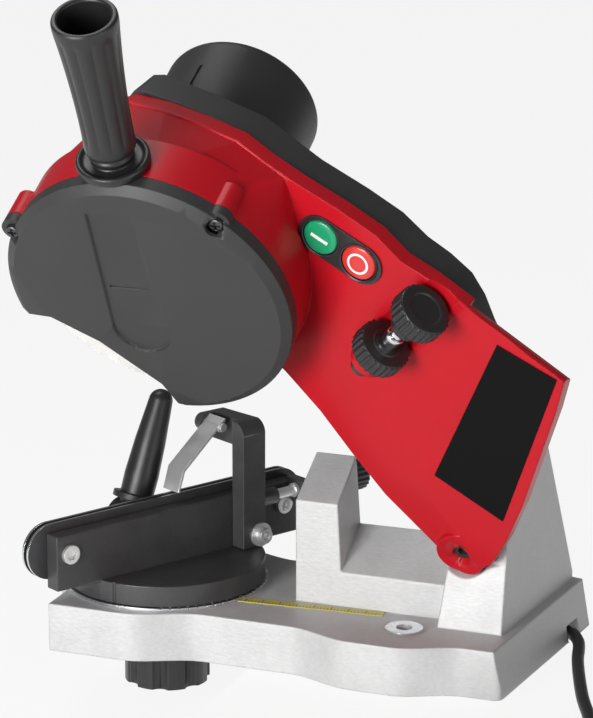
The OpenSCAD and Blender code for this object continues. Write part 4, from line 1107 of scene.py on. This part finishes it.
# %% Bench and floor
def stage_material(name, colour, share):
    mat = bpy.data.materials.new(name)
    mat.use_nodes = True
    tree = mat.node_tree
    matt = tree.nodes["Principled BSDF"]
    matt.inputs["Base Color"].default_value = (*colour, 1)
    matt.inputs["Roughness"].default_value = 0.8
    glow = tree.nodes.new("ShaderNodeEmission")
    glow.inputs["Strength"].default_value = 1.0
    path = tree.nodes.new("ShaderNodeLightPath")
    seen = tree.nodes.new("ShaderNodeMath")
    seen.operation = "MAXIMUM"
    tree.links.new(path.outputs["Is Camera Ray"], seen.inputs[0])
    tree.links.new(path.outputs["Is Glossy Ray"], seen.inputs[1])
    part = tree.nodes.new("ShaderNodeMath")
    part.operation = "MULTIPLY"
    part.inputs[1].default_value = share
    mix = tree.nodes.new("ShaderNodeMixShader")
    tree.links.new(seen.outputs[0], part.inputs[0])
    tree.links.new(part.outputs[0], mix.inputs[0])
    tree.links.new(matt.outputs[0], mix.inputs[1])
    tree.links.new(glow.outputs[0], mix.inputs[2])
    tree.links.new(mix.outputs[0], tree.nodes["Material Output"].inputs["Surface"])
    return mat


def block(name, low, high, mat):
    bm = bmesh.new()
    bmesh.ops.create_cube(bm, size=1.0)
    size = Vector(high) - Vector(low)
    bm.transform(Matrix.Translation((Vector(low) + Vector(high)) / 2)
                 @ Matrix.Diagonal((*size, 1)))
    mesh = finished(bm)
    mesh.materials.append(mat)
    made = bpy.data.objects.new(name, mesh)
    bpy.context.scene.collection.objects.link(made)


BENCH_EDGE, BENCH_TOP, FLOOR_TOP = -0.085, -0.0002, -0.045
pale = stage_material("pale_bench", (0.86, 0.86, 0.86), 0.88)
block("bench", (BENCH_EDGE, -0.42, FLOOR_TOP), (1.4, 1.2, BENCH_TOP), pale)
block("floor", (-4, -4, -0.06), (4, 6, FLOOR_TOP), pale)
print("bench and floor ready")

# %% [markdown]
# The key is a large soft lamp, low and to the left of the camera, because the upright
# faces in the photograph are evenly lit. A weak fill from the right and a weak lamp from
# above shape the rest. A single sun would be simpler, but its shadows are hard.

# %% Lamps
def lamp(name, at, aim, energy, size):
    data = bpy.data.lights.new(name, "AREA")
    data.energy, data.size = energy, size
    made = bpy.data.objects.new(name, data)
    made.location = at
    made.rotation_euler = (Vector(aim) - Vector(at)).to_track_quat("-Z", "Y").to_euler()
    bpy.context.scene.collection.objects.link(made)


middle = (-0.05, 0.0, 0.13)
lamp("key", (-0.45, -1.65, 0.35), middle, 30, 0.8)
lamp("fill", (1.1, -0.6, 0.35), middle, 3, 0.8)
lamp("top", (-0.45, 0.1, 1.2), middle, 3, 0.5)

# %% [markdown]
# The world is dim where it lights the machine and white where the camera sees it. It could
# be one grey, but then either the background is dull or the blacks turn pale.

# %% World
WORLD_LIGHT = 0.16
world = bpy.data.worlds.new("studio")
bpy.context.scene.world = world
world.use_nodes = True
sky = world.node_tree
back = sky.nodes["Background"]
path = sky.nodes.new("ShaderNodeLightPath")
seen = sky.nodes.new("ShaderNodeMath")
seen.operation = "MAXIMUM"
level = sky.nodes.new("ShaderNodeMapRange")
level.inputs["To Min"].default_value = WORLD_LIGHT
level.inputs["To Max"].default_value = 1.0
sky.links.new(path.outputs["Is Camera Ray"], seen.inputs[0])
sky.links.new(path.outputs["Is Transmission Ray"], seen.inputs[1])
sky.links.new(seen.outputs[0], level.inputs["Value"])
sky.links.new(level.outputs["Result"], back.inputs["Strength"])
back.inputs["Color"].default_value = (1, 1, 1, 1)
bpy.context.scene.view_settings.view_transform = "Standard"
print("world set")
